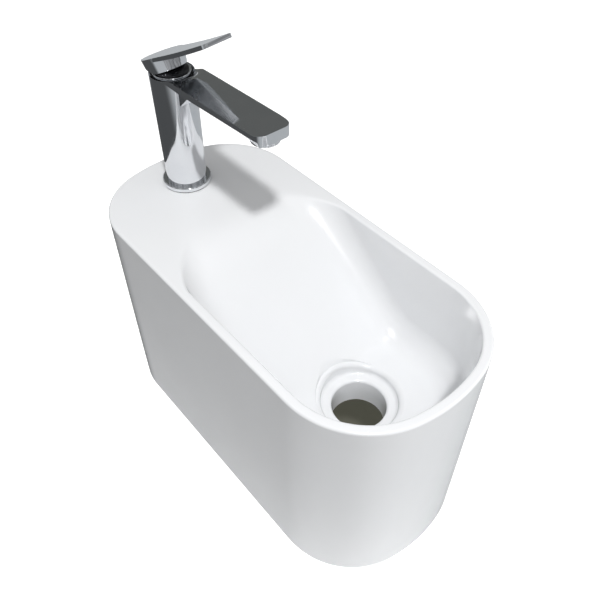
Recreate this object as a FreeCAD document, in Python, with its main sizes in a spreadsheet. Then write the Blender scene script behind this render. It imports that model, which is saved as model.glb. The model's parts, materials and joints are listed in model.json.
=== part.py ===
import FreeCAD, Part
import math
import os
import re
import Sketcher

# A hand basin with its own single-lever mixer. Millimetres, +Z up.
# The origin is the middle of the basin's foot. +X runs from the tap to the waste hole.
# Heights of the mixer's pieces are counted from the top of the deck.

os.makedirs("parts", exist_ok=True)
doc = FreeCAD.newDocument("hand_basin")
V = FreeCAD.Vector

# Driving dimensions: alias, value or what it follows from, what it is
ROWS = [
    ("basin_length", 365, "basin, overall length"),
    ("basin_width", 175, "basin, overall width"),
    ("basin_height", 211, "basin, foot to deck"),
    ("wall", 8, "basin wall and rim"),
    ("tap_end_corner", 67, "plan radius of the corners at the tap end"),
    ("tap_end_bow", 150, "plan radius of the bowed tap end"),
    ("waste_end_corner", 72, "plan radius of the corners at the waste end"),
    ("waste_end_bow", 141, "plan radius of the bowed waste end"),
    ("rim_round", 2, "rounding of the rim's edges"),
    ("ramp_inset", 131.75, "from the tap end to where the ramp's plane would meet the deck"),
    ("ramp_start", "ramp_inset - basin_length / 2", "that place along the basin"),
    ("crest_angle", 6, "slope at which the crest leaves the deck in degrees"),
    ("crest_radius", 85, "radius of the ramp's crest"),
    ("floor_blend", 40, "radius between ramp and floor"),
    ("floor_depth", 88.4, "deck to bowl floor at the waste hole"),
    ("floor_fall", 1.2, "fall of the floor towards the hole in degrees"),
    ("bowl_corner", 22, "radius between bowl floor and walls"),
    ("form_rise", 40, "how far the bowl's cutter stands above the deck"),
    ("waste_inset", 85.7, "from the far end to the waste hole's centre"),
    ("waste_x", "basin_length / 2 - waste_inset", "waste hole centre"),
    ("ramp_foot", 25.87784, "from where the ramp's plane would reach that depth to the hole's centre"),
    ("ramp_angle", "atan(floor_depth / (waste_x - ramp_foot - ramp_start))", "slope of the ramp"),
    ("recess_r", 32.5, "radius of the recess for the waste flange"),
    ("recess_drop", 7.9, "bowl floor to recess floor at the hole's centre"),
    ("recess_depth", "floor_depth + recess_drop", "deck to recess floor"),
    ("recess_round", 4, "rounding of the recess's edge"),
    ("recess_corner", 3, "radius in the recess's foot"),
    ("waste_r", 23, "radius of the waste hole"),
    ("waste_round", 2.7, "rounding of the waste hole's edge"),
    ("boss_r", 42, "radius of the boss under the waste hole"),
    ("boss_height", 26.2, "recess floor to boss's underside"),
    ("boss_depth", "recess_depth + boss_height", "deck to boss's underside"),
    ("boss_lap", 4.6, "how far the boss starts below the bowl floor, inside the shell"),
    ("boss_top_depth", "floor_depth + boss_lap", "deck to the top of the boss"),
    ("shell", 9, "thickness of the bowl's floor and ramp"),
    ("deck_thickness", 12, "thickness of the deck"),
    ("tap_inset", 41.9, "from the tap end to the tap axis"),
    ("tap_x", "tap_inset - basin_length / 2", "tap axis"),
    ("tap_hole_r", 17.5, "radius of the tap hole"),
    ("fit_gap", 0.05, "clearance of pieces that fit in each other"),
    ("slide_gap", 0.1, "clearance of sliding flats"),
    ("air_gap", 0.3, "gap between faces that pass each other"),
    ("seal_thickness", 1, "rubber seal under the foot ring"),
    ("seal_r", 21.4, "its outer radius"),
    ("foot_hole_r", 14.6, "way through seal and foot ring"),
    ("foot_r", 22, "foot ring's outer radius"),
    ("foot_top", 4.8, "foot ring's top"),
    ("foot_edge", 0.8, "foot ring's chamfer"),
    ("body_bottom", 2.6, "underside of the column"),
    ("column_low_r", 18, "column radius at the foot"),
    ("column_top_r", 18.7, "column radius at the rim"),
    ("rim_top", 105.5, "top of the column's rim"),
    ("ledge_top", 101.3, "foot of the dish round the neck"),
    ("neck_r", 15.75, "neck radius"),
    ("dish_mid_r", 27, "middle of the dish's curve"),
    ("dish_mid_top", 110.4, "its height"),
    ("dish_r", 39, "outer edge of the dish"),
    ("dish_top", 114.3, "its height"),
    ("spout_half", 16.2, "half width of the spout"),
    ("spout_root_x", 39, "section at the root of the spout's facets"),
    ("spout_end_x", 120, "section at the end of the facets"),
    ("spout_tip_x", 135.3, "tip of the spout"),
    ("spout_low", 105.6, "lower edge of the side at the root"),
    ("spout_low_end", 110.2, "lower edge of the side at the end"),
    ("spout_low_tip", 110.6, "lower edge of the side at the tip"),
    ("spout_side_start", 109.6, "upper edge of the side over the axis"),
    ("spout_side_root", 111.3, "upper edge of the side at the root"),
    ("spout_side_end", 114.1, "upper edge of the side at the end"),
    ("spout_side_tip", 114.2, "upper edge of the side at the tip"),
    ("spout_top_start", 113.5, "spout's top over the axis"),
    ("spout_top_root", 114, "spout's top at the root"),
    ("spout_top_end", 114.8, "spout's top at the end"),
    ("spout_top_tip", 114.7, "spout's top at the tip"),
    ("crease_start", 0.5, "half width of the top flat over the axis"),
    ("crease_root", 0.9, "half width of the top flat at the root"),
    ("crease_end", 11.8, "half width of the top flat at the end"),
    ("tip_half", 15.5, "half width of the tip"),
    ("crease_tip", 12.6, "half width of the top flat at the tip"),
    ("belly_half", 8, "half width of the belly at the root"),
    ("belly_half_end", 9, "half width of the belly at the end"),
    ("belly_half_tip", 14.2, "half width of the belly at the tip"),
    ("belly_start", 98, "belly over the axis"),
    ("belly_root", 98.6, "belly at the root"),
    ("belly_end", 104.1, "belly at the end"),
    ("belly_tip", 105.8, "belly at the tip"),
    ("tip_corner", 7.5, "plan radius of the tip's corners"),
    ("tip_corner_half", "tip_half + (spout_half - tip_half) * tip_corner / (spout_tip_x - spout_end_x)",
     "half width where they begin"),
    ("gusset_half", 6.5, "half width of the gusset under the spout"),
    ("gusset_low", 84, "foot of the gusset on the column"),
    ("gusset_reach", 33, "end of the gusset under the belly"),
    ("spout_way_r", 3, "water way in the spout"),
    ("spout_way_x", 24, "start of the water way"),
    ("spout_way_top", 103, "its height there"),
    ("spout_way_end_x", 118, "end of the water way"),
    ("spout_way_end_top", 108.6, "its height there"),
    ("riser_r", 2.6, "water way from the cartridge to the spout"),
    ("riser_x", 12.4, "its start in the cartridge bore"),
    ("riser_low", 88, "its height there"),
    ("jet_x", 122.5, "aerator centre"),
    ("jet_boss_r", 11.6, "boss round the aerator"),
    ("jet_boss_low", 103.4, "its underside"),
    ("jet_boss_top", 110, "its top inside the spout"),
    ("jet_bore_r", 9.75, "aerator thread bore"),
    ("jet_seat", 108.6, "aerator seat"),
    ("jet_chamber_r", 6.4, "chamber above the aerator"),
    ("jet_chamber_top", 110.9, "its roof"),
    ("seat_top", 63, "cartridge seat"),
    ("cartridge_bore_r", 13.6, "cartridge bore"),
    ("nut_thread_r", 14, "thread of the cartridge nut"),
    ("nut_bottom", 96.5, "underside of the cartridge nut"),
    ("port_x", 3.2, "inlet ports of the cartridge"),
    ("port_y", 6.6, "inlet ports, to each side"),
    ("port_r", 2.2, "inlet port radius"),
    ("hose_x", 4, "hose threads"),
    ("hose_y", 8.2, "hose threads, to each side"),
    ("hose_r", 4.5, "hose thread bore"),
    ("hose_top", 14, "end of the hose threads"),
    ("stud_x", -9.5, "fixing stud"),
    ("stud_r", 4, "its radius"),
    ("stud_top", 14, "its upper end"),
    ("stud_low", -60, "its lower end"),
    ("stud_hole_top", 15, "end of its thread"),
    ("base_r", 12.45, "cartridge base radius"),
    ("base_top", 69, "its top"),
    ("port_seal_big_r", 3.1, "port seal, ring radius"),
    ("port_seal_small_r", 0.75, "port seal, cord radius"),
    ("port_seat_r", 3.9, "groove of a port seal"),
    ("outlet_x", -6.5, "outlet of the cartridge base"),
    ("outlet_r", 2.8, "its radius"),
    ("outlet_low", 65, "underside of its side way"),
    ("outlet_high", 67.5, "roof of its side way"),
    ("outlet_half", 2.4, "half width of its side way"),
    ("fixed_disc_r", 10, "fixed ceramic disc"),
    ("fixed_disc_top", 72.5, "its top"),
    ("moving_disc_r", 7.2, "moving ceramic disc"),
    ("moving_disc_top", 75.5, "its top"),
    ("mixing_r", 5.2, "mixing chamber under the moving disc"),
    ("mixing_top", 74.1, "its roof"),
    ("carrier_r", 7, "disc carrier"),
    ("carrier_half", 6.6, "half width over its flats"),
    ("carrier_top", 83, "its top"),
    ("socket_r", 2.6, "socket for the stem's ball"),
    ("socket_low", 77.4, "its foot"),
    ("housing_r", 12.5, "cartridge housing"),
    ("housing_bore_r", 11, "its bore"),
    ("shoulder_r", 13.45, "its shoulder"),
    ("shoulder_low", 91.5, "underside of the shoulder"),
    ("housing_lip_r", 9, "its lip round the guide's neck"),
    ("housing_lip_low", 94, "underside of the lip"),
    ("groove_r", 12, "groove of the housing seal"),
    ("groove_low", 92.9, "its underside"),
    ("groove_high", 95.1, "its top"),
    ("housing_seal_big_r", 12.8, "housing seal, ring radius"),
    ("housing_seal_small_r", 0.75, "housing seal, cord radius"),
    ("guide_r", 10.8, "stem guide"),
    ("guide_leg_low", 76.2, "foot of its legs"),
    ("guide_low", 84.5, "underside between the legs"),
    ("guide_shoulder", 93.6, "its shoulder under the lip"),
    ("guide_neck_r", 8.7, "its neck"),
    ("guide_top", 106, "its top"),
    ("guide_slot_half", 4.1, "half width of the slot for the stem"),
    ("guide_slot_x", 6.5, "slot below the pivot"),
    ("guide_slot_rise", 91, "where the slot opens to the rear"),
    ("guide_slot_front", 5.2, "front of the slot at the neck"),
    ("pivot_top", 97, "pivot of the stem"),
    ("pin_r", 1.5, "pivot pin"),
    ("pin_half", 8.2, "half its length"),
    ("pin_play", 0.04, "play of the pin"),
    ("stem_half", 3.5, "half width of the stem's square"),
    ("stem_top", 19.4, "end of the stem above the pivot"),
    ("stem_eye_r", 4.5, "eye of the stem"),
    ("stem_eye_half", 4, "half its width"),
    ("arm_r", 2, "lower arm of the stem"),
    ("arm_reach", 16, "pivot to ball"),
    ("arm_lean", 14, "lean of the lower arm in degrees"),
    ("ball_r", 2.5, "ball at its end"),
    ("nut_collar_r", 12.6, "collar of the cartridge nut"),
    ("nut_top", 104.9, "its top"),
    ("nut_hole_r", 9.3, "its hole"),
    ("neck_hole_r", 12.7, "hole of the neck ring"),
    ("neck_top", 105.2, "top of the neck ring"),
    ("trim_hole_r", 11, "hole of the trim ring"),
    ("trim_r", 16.2, "trim ring"),
    ("trim_top", 106.8, "its top"),
    ("trim_edge", 0.4, "its chamfer"),
    ("cover_r", 14.2, "swivel cover"),
    ("cover_low", 107.1, "its underside"),
    ("cover_side_top", 107.9, "top of its side"),
    ("cover_mid_r", 11.4, "middle of its curve"),
    ("cover_mid_top", 109.4, "its height"),
    ("cover_hole_r", 7.4, "its hole"),
    ("cover_top", 110.3, "its top"),
    ("cover_collar_r", 10.5, "its collar round the guide"),
    ("cover_collar_low", 105.2, "underside of the collar"),
    ("cover_inside", 107.6, "inside of the cover over the guide"),
    ("cover_slot_half", 6.6, "half width of its slot"),
    ("cover_slot_front", 6.8, "front of its slot"),
    ("lever_turn", 7, "lever's turn from the spout in degrees"),
    ("lift_rest", 23.5, "lever's lift in the photographed pose in degrees"),
    ("lift_open", 26, "lever's highest lift in degrees"),
    ("hub_low", 10.4, "hub's underside above the pivot"),
    ("hub_low_r", 16.4, "hub radius there"),
    ("hub_top", 22.7, "lever's top above the pivot"),
    ("hub_top_r", 18.2, "hub radius there"),
    ("hub_cavity_r", 14.6, "hollow of the hub"),
    ("hub_roof", 20, "roof of the hollow"),
    ("lever_boss_r", 6, "boss on the stem"),
    ("lever_boss_low", 13, "its underside"),
    ("rib_half", 3.4, "half width of the screw's rib"),
    ("rib_low", 13.9, "its underside"),
    ("screw_r", 2, "grub screw"),
    ("screw_rise", 16, "its height above the pivot"),
    ("screw_end", 12, "its outer end"),
    ("screw_key_r", 1.15, "its key socket over corners"),
    ("screw_key_end", 9.5, "end of the key socket"),
    ("plug_start", 15.2, "screw plug, inner end"),
    ("plug_end", 17.3, "screw plug, outer end"),
    ("relief_front", 3.6, "where the hub's rear relief begins"),
    ("blade_low", 19.7, "underside of the blade at the hub"),
    ("blade_rise", 2.9, "how far the blade's tip curves up"),
    ("blade_tip_thickness", 2.4, "thickness of the blade at its tip"),
    ("blade_root_half", 16.2, "half width of the blade over the hub"),
    ("blade_tip_half", 13.7, "half width of the blade's tip"),
    ("blade_reach", 78.5, "axis to the blade's tip"),
    ("blade_corner", 3.5, "plan radius of the blade's corners"),
    ("gasket_r", 22, "rubber horseshoe"),
    ("gasket_thickness", 2.5, "its thickness"),
    ("washer_r", 21, "steel horseshoe"),
    ("washer_thickness", 2.5, "its thickness"),
    ("horseshoe_gap_x", -3, "foot of the horseshoes' opening"),
    ("horseshoe_gap_half", 13.6, "half width of the opening"),
    ("nut_flats", 13, "fixing nut over flats"),
    ("nut_length", 12, "its length"),
    ("jet_flange_r", 11, "aerator housing's flange"),
    ("jet_flange_low", 102, "its underside"),
    ("jet_thread_r", 9.5, "aerator housing's thread"),
    ("jet_housing_r", 8.4, "its bore"),
    ("jet_housing_top", 107.4, "its top"),
    ("jet_insert_r", 8.3, "aerator insert"),
    ("jet_insert_low", 102.6, "its underside"),
    ("jet_hole_r", 0.6, "its holes"),
    ("jet_ring_r", 2.49, "radius of the inner ring of holes"),
    ("jet_ring_step", 2.075, "step to the next ring"),
    ("jet_washer_hole_r", 6.4, "hole of the aerator washer"),
]
sheet = doc.addObject("Spreadsheet::Sheet", "Sizes")
for row, (alias, amount, note) in enumerate(ROWS, 1):
    sheet.set(f"A{row}", note)
    sheet.set(f"B{row}", f"={amount}")
    sheet.setAlias(f"B{row}", alias)
doc.recompute()
ALIASES = {alias for alias, amount, note in ROWS}

# Every pocket and groove with the solid it starts from, to see later that each takes something
CUTS = []


def bound(expression):
    """Write an expression of aliases the way the document reads it."""
    def full(word):
        return "Sizes." + word.group() if word.group() in ALIASES else word.group()
    return re.sub(r"[a-z][a-z_0-9]*", full, str(expression))


def size(expression):
    """The present value of an expression of aliases."""
    return float(sheet.evalExpression(bound(expression)))


def bind(thing, **properties):
    """Bind an object's sizes to the sheet."""
    for name, expression in properties.items():
        thing.setExpression(name, bound(expression))


# Frames: the basin's own, the mixer on the deck, and the lever's parts, turned and lifted
FRAMES = {
    "basin": {},
    "tap": {"Base.x": "tap_x", "Base.z": "basin_height"},
    "jet": {"Base.x": "tap_x + jet_x", "Base.z": "basin_height"},
    "swivel": {"Base.x": "tap_x", "Base.z": "basin_height"},
    "disc": {
        "Base.x": "tap_x + arm_reach * sin(lift_rest - arm_lean) * cos(lever_turn)",
        "Base.y": "arm_reach * sin(lift_rest - arm_lean) * sin(lever_turn)",
        "Base.z": "basin_height",
    },
    "lever": {"Base.x": "tap_x", "Base.z": "basin_height + pivot_top"},
}


def place(thing, frame):
    """Stand a piece in its frame."""
    turn = FreeCAD.Rotation(V(0, 0, 1), size("lever_turn"))
    lift = FreeCAD.Rotation(V(0, 1, 0), -size("lift_rest"))
    if frame in ("swivel", "disc"):
        thing.Placement.Rotation = turn
    if frame == "lever":
        thing.Placement.Rotation = turn.multiply(lift)
    for axis, expression in FRAMES[frame].items():
        thing.setExpression("Placement." + axis, bound(expression))


def new_body(label, frame="tap"):
    body = doc.addObject("PartDesign::Body", label)
    body.Label = label
    place(body, frame)
    return body


def new_sketch(body, name, plane, offset=0):
    """An empty sketch on one of the body's own planes, moved along its normal."""
    sketch = body.newObject("Sketcher::SketchObject", name)
    support = next(f for f in body.Origin.OriginFeatures if f.Role == plane)
    sketch.AttachmentSupport = [(support, "")]
    sketch.MapMode = "FlatFace"
    if offset != 0:
        sketch.setExpression("AttachmentOffset.Base.z", bound(offset))
    return sketch


def pin_point(sketch, index, corner, u, v):
    """Tie one end of a line to its place in the sheet."""
    if size(u) == 0:
        sketch.addConstraint(Sketcher.Constraint("PointOnObject", index, corner, -2))
    else:
        tie = sketch.addConstraint(
            Sketcher.Constraint("DistanceX", -1, 1, index, corner, size(u)))
        sketch.setExpression(f"Constraints[{tie}]", bound(u))
    if size(v) == 0:
        sketch.addConstraint(Sketcher.Constraint("PointOnObject", index, corner, -1))
    else:
        tie = sketch.addConstraint(
            Sketcher.Constraint("DistanceY", -1, 1, index, corner, size(v)))
        sketch.setExpression(f"Constraints[{tie}]", bound(v))


def polygon(body, name, plane, points, offset=0):
    """A closed outline. A point with a third entry is reached by an arc through that entry."""
    sketch = new_sketch(body, name, plane, offset)
    spots = [V(size(p[0]), size(p[1]), 0) for p in points]
    count = len(points)
    # An arc that runs clockwise has its ends the other way round in the sketch
    clockwise = []
    for index in range(count):
        after = (index + 1) % count
        start, stop = spots[index], spots[after]
        if len(points[after]) == 3:
            through = V(size(points[after][2][0]), size(points[after][2][1]), 0)
            sketch.addGeometry(Part.Arc(start, through, stop), False)
            clockwise.append((through - start).cross(stop - through).z < 0)
        else:
            sketch.addGeometry(Part.LineSegment(start, stop), False)
            clockwise.append(False)
    first = [2 if back else 1 for back in clockwise]
    for index in range(count):
        after = (index + 1) % count
        sketch.addConstraint(
            Sketcher.Constraint("Coincident", index, 3 - first[index], after, first[after]))
    for index, point in enumerate(points):
        pin_point(sketch, index, first[index], point[0], point[1])
    return sketch


def circles(body, name, plane, rounds, offset=0):
    """Circles given as (u, v, radius)."""
    sketch = new_sketch(body, name, plane, offset)
    for index, (u, v, radius) in enumerate(rounds):
        middle = V(size(u), size(v), 0)
        sketch.addGeometry(Part.Circle(middle, V(0, 0, 1), size(radius)), False)
        tie = sketch.addConstraint(Sketcher.Constraint("Radius", index, size(radius)))
        sketch.setExpression(f"Constraints[{tie}]", bound(radius))
        pin_point(sketch, index, 3, u, v)
    return sketch


def turned(body, name, points):
    """Material turned about the frame's Z axis."""
    sketch = polygon(body, name + "_profile", "XZ_Plane", points)
    solid = body.newObject("PartDesign::Revolution", name)
    solid.Profile = sketch
    solid.ReferenceAxis = (sketch, ["V_Axis"])
    solid.Angle = 360
    return solid


def turned_away(body, name, points):
    """Material taken away round the frame's Z axis."""
    before = body.Tip
    sketch = polygon(body, name + "_profile", "XZ_Plane", points)
    solid = body.newObject("PartDesign::Groove", name)
    solid.Profile = sketch
    solid.ReferenceAxis = (sketch, ["V_Axis"])
    solid.Angle = 360
    CUTS.append((before, solid))
    return solid


def padded(body, name, sketch, length):
    solid = body.newObject("PartDesign::Pad", name)
    solid.Profile = sketch
    bind(solid, Length=length)
    return solid


def cut_down(body, name, sketch, length):
    """A pocket that runs against the sketch's normal."""
    before = body.Tip
    solid = body.newObject("PartDesign::Pocket", name)
    solid.Profile = sketch
    bind(solid, Length=length)
    CUTS.append((before, solid))
    return solid


def both_ways(feature):
    """Let a pad or pocket run the same way to both sides of its sketch."""
    feature.SideType = "Symmetric"
    return feature


def rectangle(x0, x1, y0, y1):
    return [(x0, y0), (x1, y0), (x1, y1), (x0, y1)]


def ring(label, inner, outer, low, high, frame="tap"):
    """A plain turned ring in a node of its own."""
    body = new_body(label, frame)
    turned(body, label + "_ring", rectangle(inner, outer, low, high))
    return body


def rounded(body, name, radius, wanted):
    """Round the edges of the body's present solid that pass the test."""
    doc.recompute()
    base = body.Tip
    names = [f"Edge{i}" for i, edge in enumerate(base.Shape.Edges, 1) if wanted(edge)]
    solid = body.newObject("PartDesign::Fillet", name)
    solid.Base = (base, names)
    bind(solid, Radius=radius)
    doc.recompute()
    return solid


def outline(body, name, inset, offset=0):
    """The basin's plan: straight sides, round corners and bowed ends, moved in by inset."""
    half = size(f"basin_width / 2 - {inset}")
    sketch = new_sketch(body, name, "XY_Plane", offset)
    ends = []
    for side, corner, bow in ((1, "waste_end_corner", "waste_end_bow"),
                              (-1, "tap_end_corner", "tap_end_bow")):
        small = size(f"{corner} - {inset}")
        large = size(f"{bow} - {inset}")
        reach = size(f"basin_length / 2 - {inset}")
        run = math.sqrt((large - small) ** 2 - (half - small) ** 2)
        middle = side * (reach - large)
        touch = V(middle + side * large * run / (large - small),
                  large * (half - small) / (large - small), 0)
        knee = V(middle + side * run, half - small, 0)
        lean = (math.atan2(half - small, side * run) + math.pi / 2) / 2
        through = knee + V(math.cos(lean), math.sin(lean), 0) * small
        ends.append((side, corner, bow, small, knee, touch, through, reach))
    flip = lambda p: V(p.x, -p.y, 0)
    right, left = ends
    spans = [
        Part.LineSegment(V(left[4].x, half, 0), V(right[4].x, half, 0)),
        Part.Arc(V(right[4].x, half, 0), right[6], right[5]),
        Part.Arc(right[5], V(right[7], 0, 0), flip(right[5])),
        Part.Arc(flip(right[5]), flip(right[6]), V(right[4].x, -half, 0)),
        Part.LineSegment(V(right[4].x, -half, 0), V(left[4].x, -half, 0)),
        Part.Arc(V(left[4].x, -half, 0), flip(left[6]), flip(left[5])),
        Part.Arc(flip(left[5]), V(-left[7], 0, 0), left[5]),
        Part.Arc(left[5], left[6], V(left[4].x, half, 0)),
    ]
    sketch.addGeometry(spans, False)
    for index in (0, 4):
        sketch.addConstraint(Sketcher.Constraint("Horizontal", index))
    # Arcs run the other way round in a sketch, so their first point is the one met last
    starts = [1, 2, 2, 2, 1, 2, 2, 2]
    stops = [2, 1, 1, 1, 2, 1, 1, 1]
    for index in range(8):
        after = (index + 1) % 8
        sketch.addConstraint(
            Sketcher.Constraint("Tangent", index, stops[index], after, starts[after]))
    for index, radius in ((1, "waste_end_corner"), (3, "waste_end_corner"), (2, "waste_end_bow"),
                          (5, "tap_end_corner"), (7, "tap_end_corner"), (6, "tap_end_bow")):
        tie = sketch.addConstraint(
            Sketcher.Constraint("Radius", index, size(f"{radius} - {inset}")))
        sketch.setExpression(f"Constraints[{tie}]", bound(f"{radius} - {inset}"))
    for index, sign, bow in ((2, "", "waste_end_bow"), (6, "-1 * ", "tap_end_bow")):
        sketch.addConstraint(Sketcher.Constraint("PointOnObject", index, 3, -1))
        far = f"{sign}(basin_length / 2 - {bow})"
        tie = sketch.addConstraint(Sketcher.Constraint("DistanceX", -1, 1, index, 3, size(far)))
        sketch.setExpression(f"Constraints[{tie}]", bound(far))
    for index, sign in ((0, ""), (4, "-1 * ")):
        far = f"{sign}(basin_width / 2 - {inset})"
        tie = sketch.addConstraint(Sketcher.Constraint("DistanceY", -1, 1, index, 1, size(far)))
        sketch.setExpression(f"Constraints[{tie}]", bound(far))
    return sketch


def cut_from(label, base, tool):
    solid = doc.addObject("Part::Cut", label)
    solid.Base = base
    solid.Tool = tool
    return solid


# The basin: a block, less the bowl's form, less the hollow under it
block = new_body("basin_block", "basin")
padded(block, "block_pad", outline(block, "block_plan", 0), "basin_height")
rounded(block, "block_edge", "rim_round",
        lambda edge: edge.BoundBox.ZMin > size("basin_height") - size("fit_gap"))

# The bowl's form reaches above the deck; the ramp's side view shapes its underside
SLOPE = math.radians(size("ramp_angle"))
CREST = math.radians(size("crest_angle"))
FALL = math.radians(size("floor_fall"))
DECK = size("basin_height")


def side(x, z):
    return V(x, z, 0)


def ramp_point(x):
    return side(x, DECK - (x - size("ramp_start")) * math.tan(SLOPE))


def floor_point(x):
    return side(x, DECK - size("floor_depth") + (x - size("waste_x")) * math.tan(FALL))


crest_r = size("crest_radius")
crest_z = DECK - crest_r * math.cos(CREST)
crest_run = (DECK - crest_r * math.cos(SLOPE) - crest_z) / math.sin(SLOPE)
crest_end = side(size("ramp_start") + crest_run * math.cos(SLOPE),
                 DECK - crest_run * math.sin(SLOPE))
crest_middle = crest_end - side(math.sin(SLOPE), math.cos(SLOPE)) * crest_r
crest_begin = crest_middle + side(math.sin(CREST), math.cos(CREST)) * crest_r
half_way = (SLOPE + CREST) / 2
crest_through = crest_middle + side(math.sin(half_way), math.cos(half_way)) * crest_r

blend_r = size("floor_blend")
ramp_up = side(math.sin(SLOPE), math.cos(SLOPE))
floor_up = side(-math.sin(FALL), math.cos(FALL))
ramp_reach = ramp_point(0).dot(ramp_up) + blend_r
floor_reach = floor_point(0).dot(floor_up) + blend_r
mixed = ramp_up.x * floor_up.y - ramp_up.y * floor_up.x
blend_middle = side((ramp_reach * floor_up.y - ramp_up.y * floor_reach) / mixed,
                    (ramp_up.x * floor_reach - floor_up.x * ramp_reach) / mixed)
blend_begin = blend_middle - ramp_up * blend_r
blend_end = blend_middle - floor_up * blend_r
blend_through = blend_middle - (ramp_up + floor_up).normalize() * blend_r

form = new_body("bowl_form", "basin")
form_low = "basin_height - floor_depth - form_rise"
padded(form, "form_pad", outline(form, "form_plan", "wall", form_low),
       "floor_depth + 2 * form_rise")
under = new_sketch(form, "ramp_side", "XZ_Plane")
far = size("basin_length")
low = size(form_low) - size("form_rise")
high = DECK + 2 * size("form_rise")
under.addGeometry([
    Part.LineSegment(side(crest_begin.x, high), crest_begin),
    Part.Arc(crest_begin, crest_through, crest_end),
    Part.LineSegment(crest_end, blend_begin),
    Part.Arc(blend_begin, blend_through, blend_end),
    Part.LineSegment(blend_end, floor_point(far)),
    Part.LineSegment(floor_point(far), side(far, low)),
    Part.LineSegment(side(far, low), side(-far, low)),
    Part.LineSegment(side(-far, low), side(-far, high)),
    Part.LineSegment(side(-far, high), side(crest_begin.x, high)),
], False)
for index, radius in ((1, "crest_radius"), (3, "floor_blend")):
    tie = under.addConstraint(Sketcher.Constraint("Radius", index, size(radius)))
    under.setExpression(f"Constraints[{tie}]", bound(radius))
both_ways(cut_down(form, "form_under", under, "2 * basin_width"))


def along_the_floor(edge):
    """The edges where the form's underside meets its walls."""
    box = edge.BoundBox
    near = size("rim_round / 2")
    across = box.XLength < near and box.YLength > size("basin_width") / 2
    upright = box.ZLength > size("form_rise") - near and box.XLength < near
    return box.ZMin < DECK - near and not across and not upright


rounded(form, "form_corner", "bowl_corner", along_the_floor)

hollow = new_body("hollow_form", "basin")
padded(hollow, "hollow_pad", outline(hollow, "hollow_plan", "wall"), "basin_height")
knee_x = ("ramp_start - shell * sin(ramp_angle)"
          " + (deck_thickness - shell * cos(ramp_angle)) / tan(ramp_angle)")
floor_x = ("ramp_start - shell * sin(ramp_angle)"
           " + (floor_depth + shell - shell * cos(ramp_angle)) / tan(ramp_angle)")
above = polygon(hollow, "hollow_side", "XZ_Plane", [
    ("-1 * basin_length", "basin_height - deck_thickness"),
    (knee_x, "basin_height - deck_thickness"),
    (floor_x, "basin_height - floor_depth - shell"),
    ("basin_length", "basin_height - floor_depth - shell"),
    ("basin_length", "2 * basin_height"),
    ("-1 * basin_length", "2 * basin_height"),
])
both_ways(cut_down(hollow, "hollow_top", above, "2 * basin_width"))

boss = doc.addObject("Part::Cylinder", "waste_boss")
bind(boss, Radius="boss_r", Height="boss_depth - boss_top_depth")
boss.setExpression("Placement.Base.x", bound("waste_x"))
boss.setExpression("Placement.Base.z", bound("basin_height - boss_depth"))

waste = new_body("waste_form", "basin")
waste.setExpression("Placement.Base.x", bound("waste_x"))
turned(waste, "waste_turn", [
    (0, "basin_height - boss_depth - wall"),
    ("waste_r", "basin_height - boss_depth - wall"),
    ("waste_r", "basin_height - recess_depth - waste_round"),
    ("waste_r + waste_round", "basin_height - recess_depth",
     ("waste_r + waste_round * (1 - cos(45))",
      "basin_height - recess_depth - waste_round * (1 - sin(45))")),
    ("recess_r - recess_corner", "basin_height - recess_depth"),
    ("recess_r", "basin_height - recess_depth + recess_corner",
     ("recess_r - recess_corner * (1 - sin(45))",
      "basin_height - recess_depth + recess_corner * (1 - cos(45))")),
    ("recess_r", "basin_height - floor_depth + form_rise"),
    (0, "basin_height - floor_depth + form_rise"),
])
hole = doc.addObject("Part::Cylinder", "tap_hole")
bind(hole, Radius="tap_hole_r", Height="2 * deck_thickness")
hole.setExpression("Placement.Base.x", bound("tap_x"))
hole.setExpression("Placement.Base.z", bound("basin_height - 1.5 * deck_thickness"))

solid = cut_from("less_hollow", block, hollow)
joined = doc.addObject("Part::Fuse", "with_boss")
joined.Base = solid
joined.Tool = boss
solid = cut_from("less_bowl", joined, form)
solid = cut_from("less_waste", solid, waste)
raw = cut_from("less_tap_hole", solid, hole)
doc.recompute()


def rim_edge(edge):
    """The bowl's mouth in the deck."""
    box = edge.BoundBox
    level = abs(box.ZMin - DECK) < size("fit_gap") and box.ZLength < size("fit_gap")
    inside = box.YMax < size("basin_width / 2 - wall / 2") and box.YMin > size("wall / 2 - basin_width / 2")
    return level and inside and box.XMax > size("tap_x + tap_hole_r * 1.1")


def recess_edge(edge):
    """The upper edge of the recess round the waste hole."""
    box = edge.BoundBox
    if box.ZMax > DECK - size("floor_depth") / 2 or box.ZMin < DECK - size("recess_depth - recess_corner * 1.1"):
        return False
    middle = edge.valueAt((edge.FirstParameter + edge.LastParameter) / 2)
    reach = math.hypot(middle.x - size("waste_x"), middle.y)
    return abs(reach - size("recess_r")) < size("fit_gap") and box.ZLength < size("recess_r")


basin = doc.addObject("Part::Fillet", "basin_body")
basin.Base = raw
picks = []
for index, edge in enumerate(raw.Shape.Edges, 1):
    if rim_edge(edge):
        picks.append((index, size("rim_round"), size("rim_round")))
    elif recess_edge(edge):
        picks.append((index, size("recess_round"), size("recess_round")))
basin.Edges = picks


# The mixer's body: a column with a flat faceted spout and a belly that holds the water way
body = new_body("tap_body")
turned(body, "column", [
    (0, "body_bottom"),
    ("column_low_r", "body_bottom"),
    ("column_top_r", "rim_top"),
    (0, "rim_top"),
])


def section(name, at, half, low_edge, side_edge, top, crease, belly, belly_half):
    """A cross-section of the spout: belly, side band, facets and top flat."""
    return polygon(body, name, "YZ_Plane", [
        (f"-1 * {belly_half}", belly), (belly_half, belly),
        (half, low_edge), (half, side_edge),
        (crease, top), (f"-1 * {crease}", top),
        (f"-1 * {half}", side_edge), (f"-1 * {half}", low_edge),
    ], at)


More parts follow.
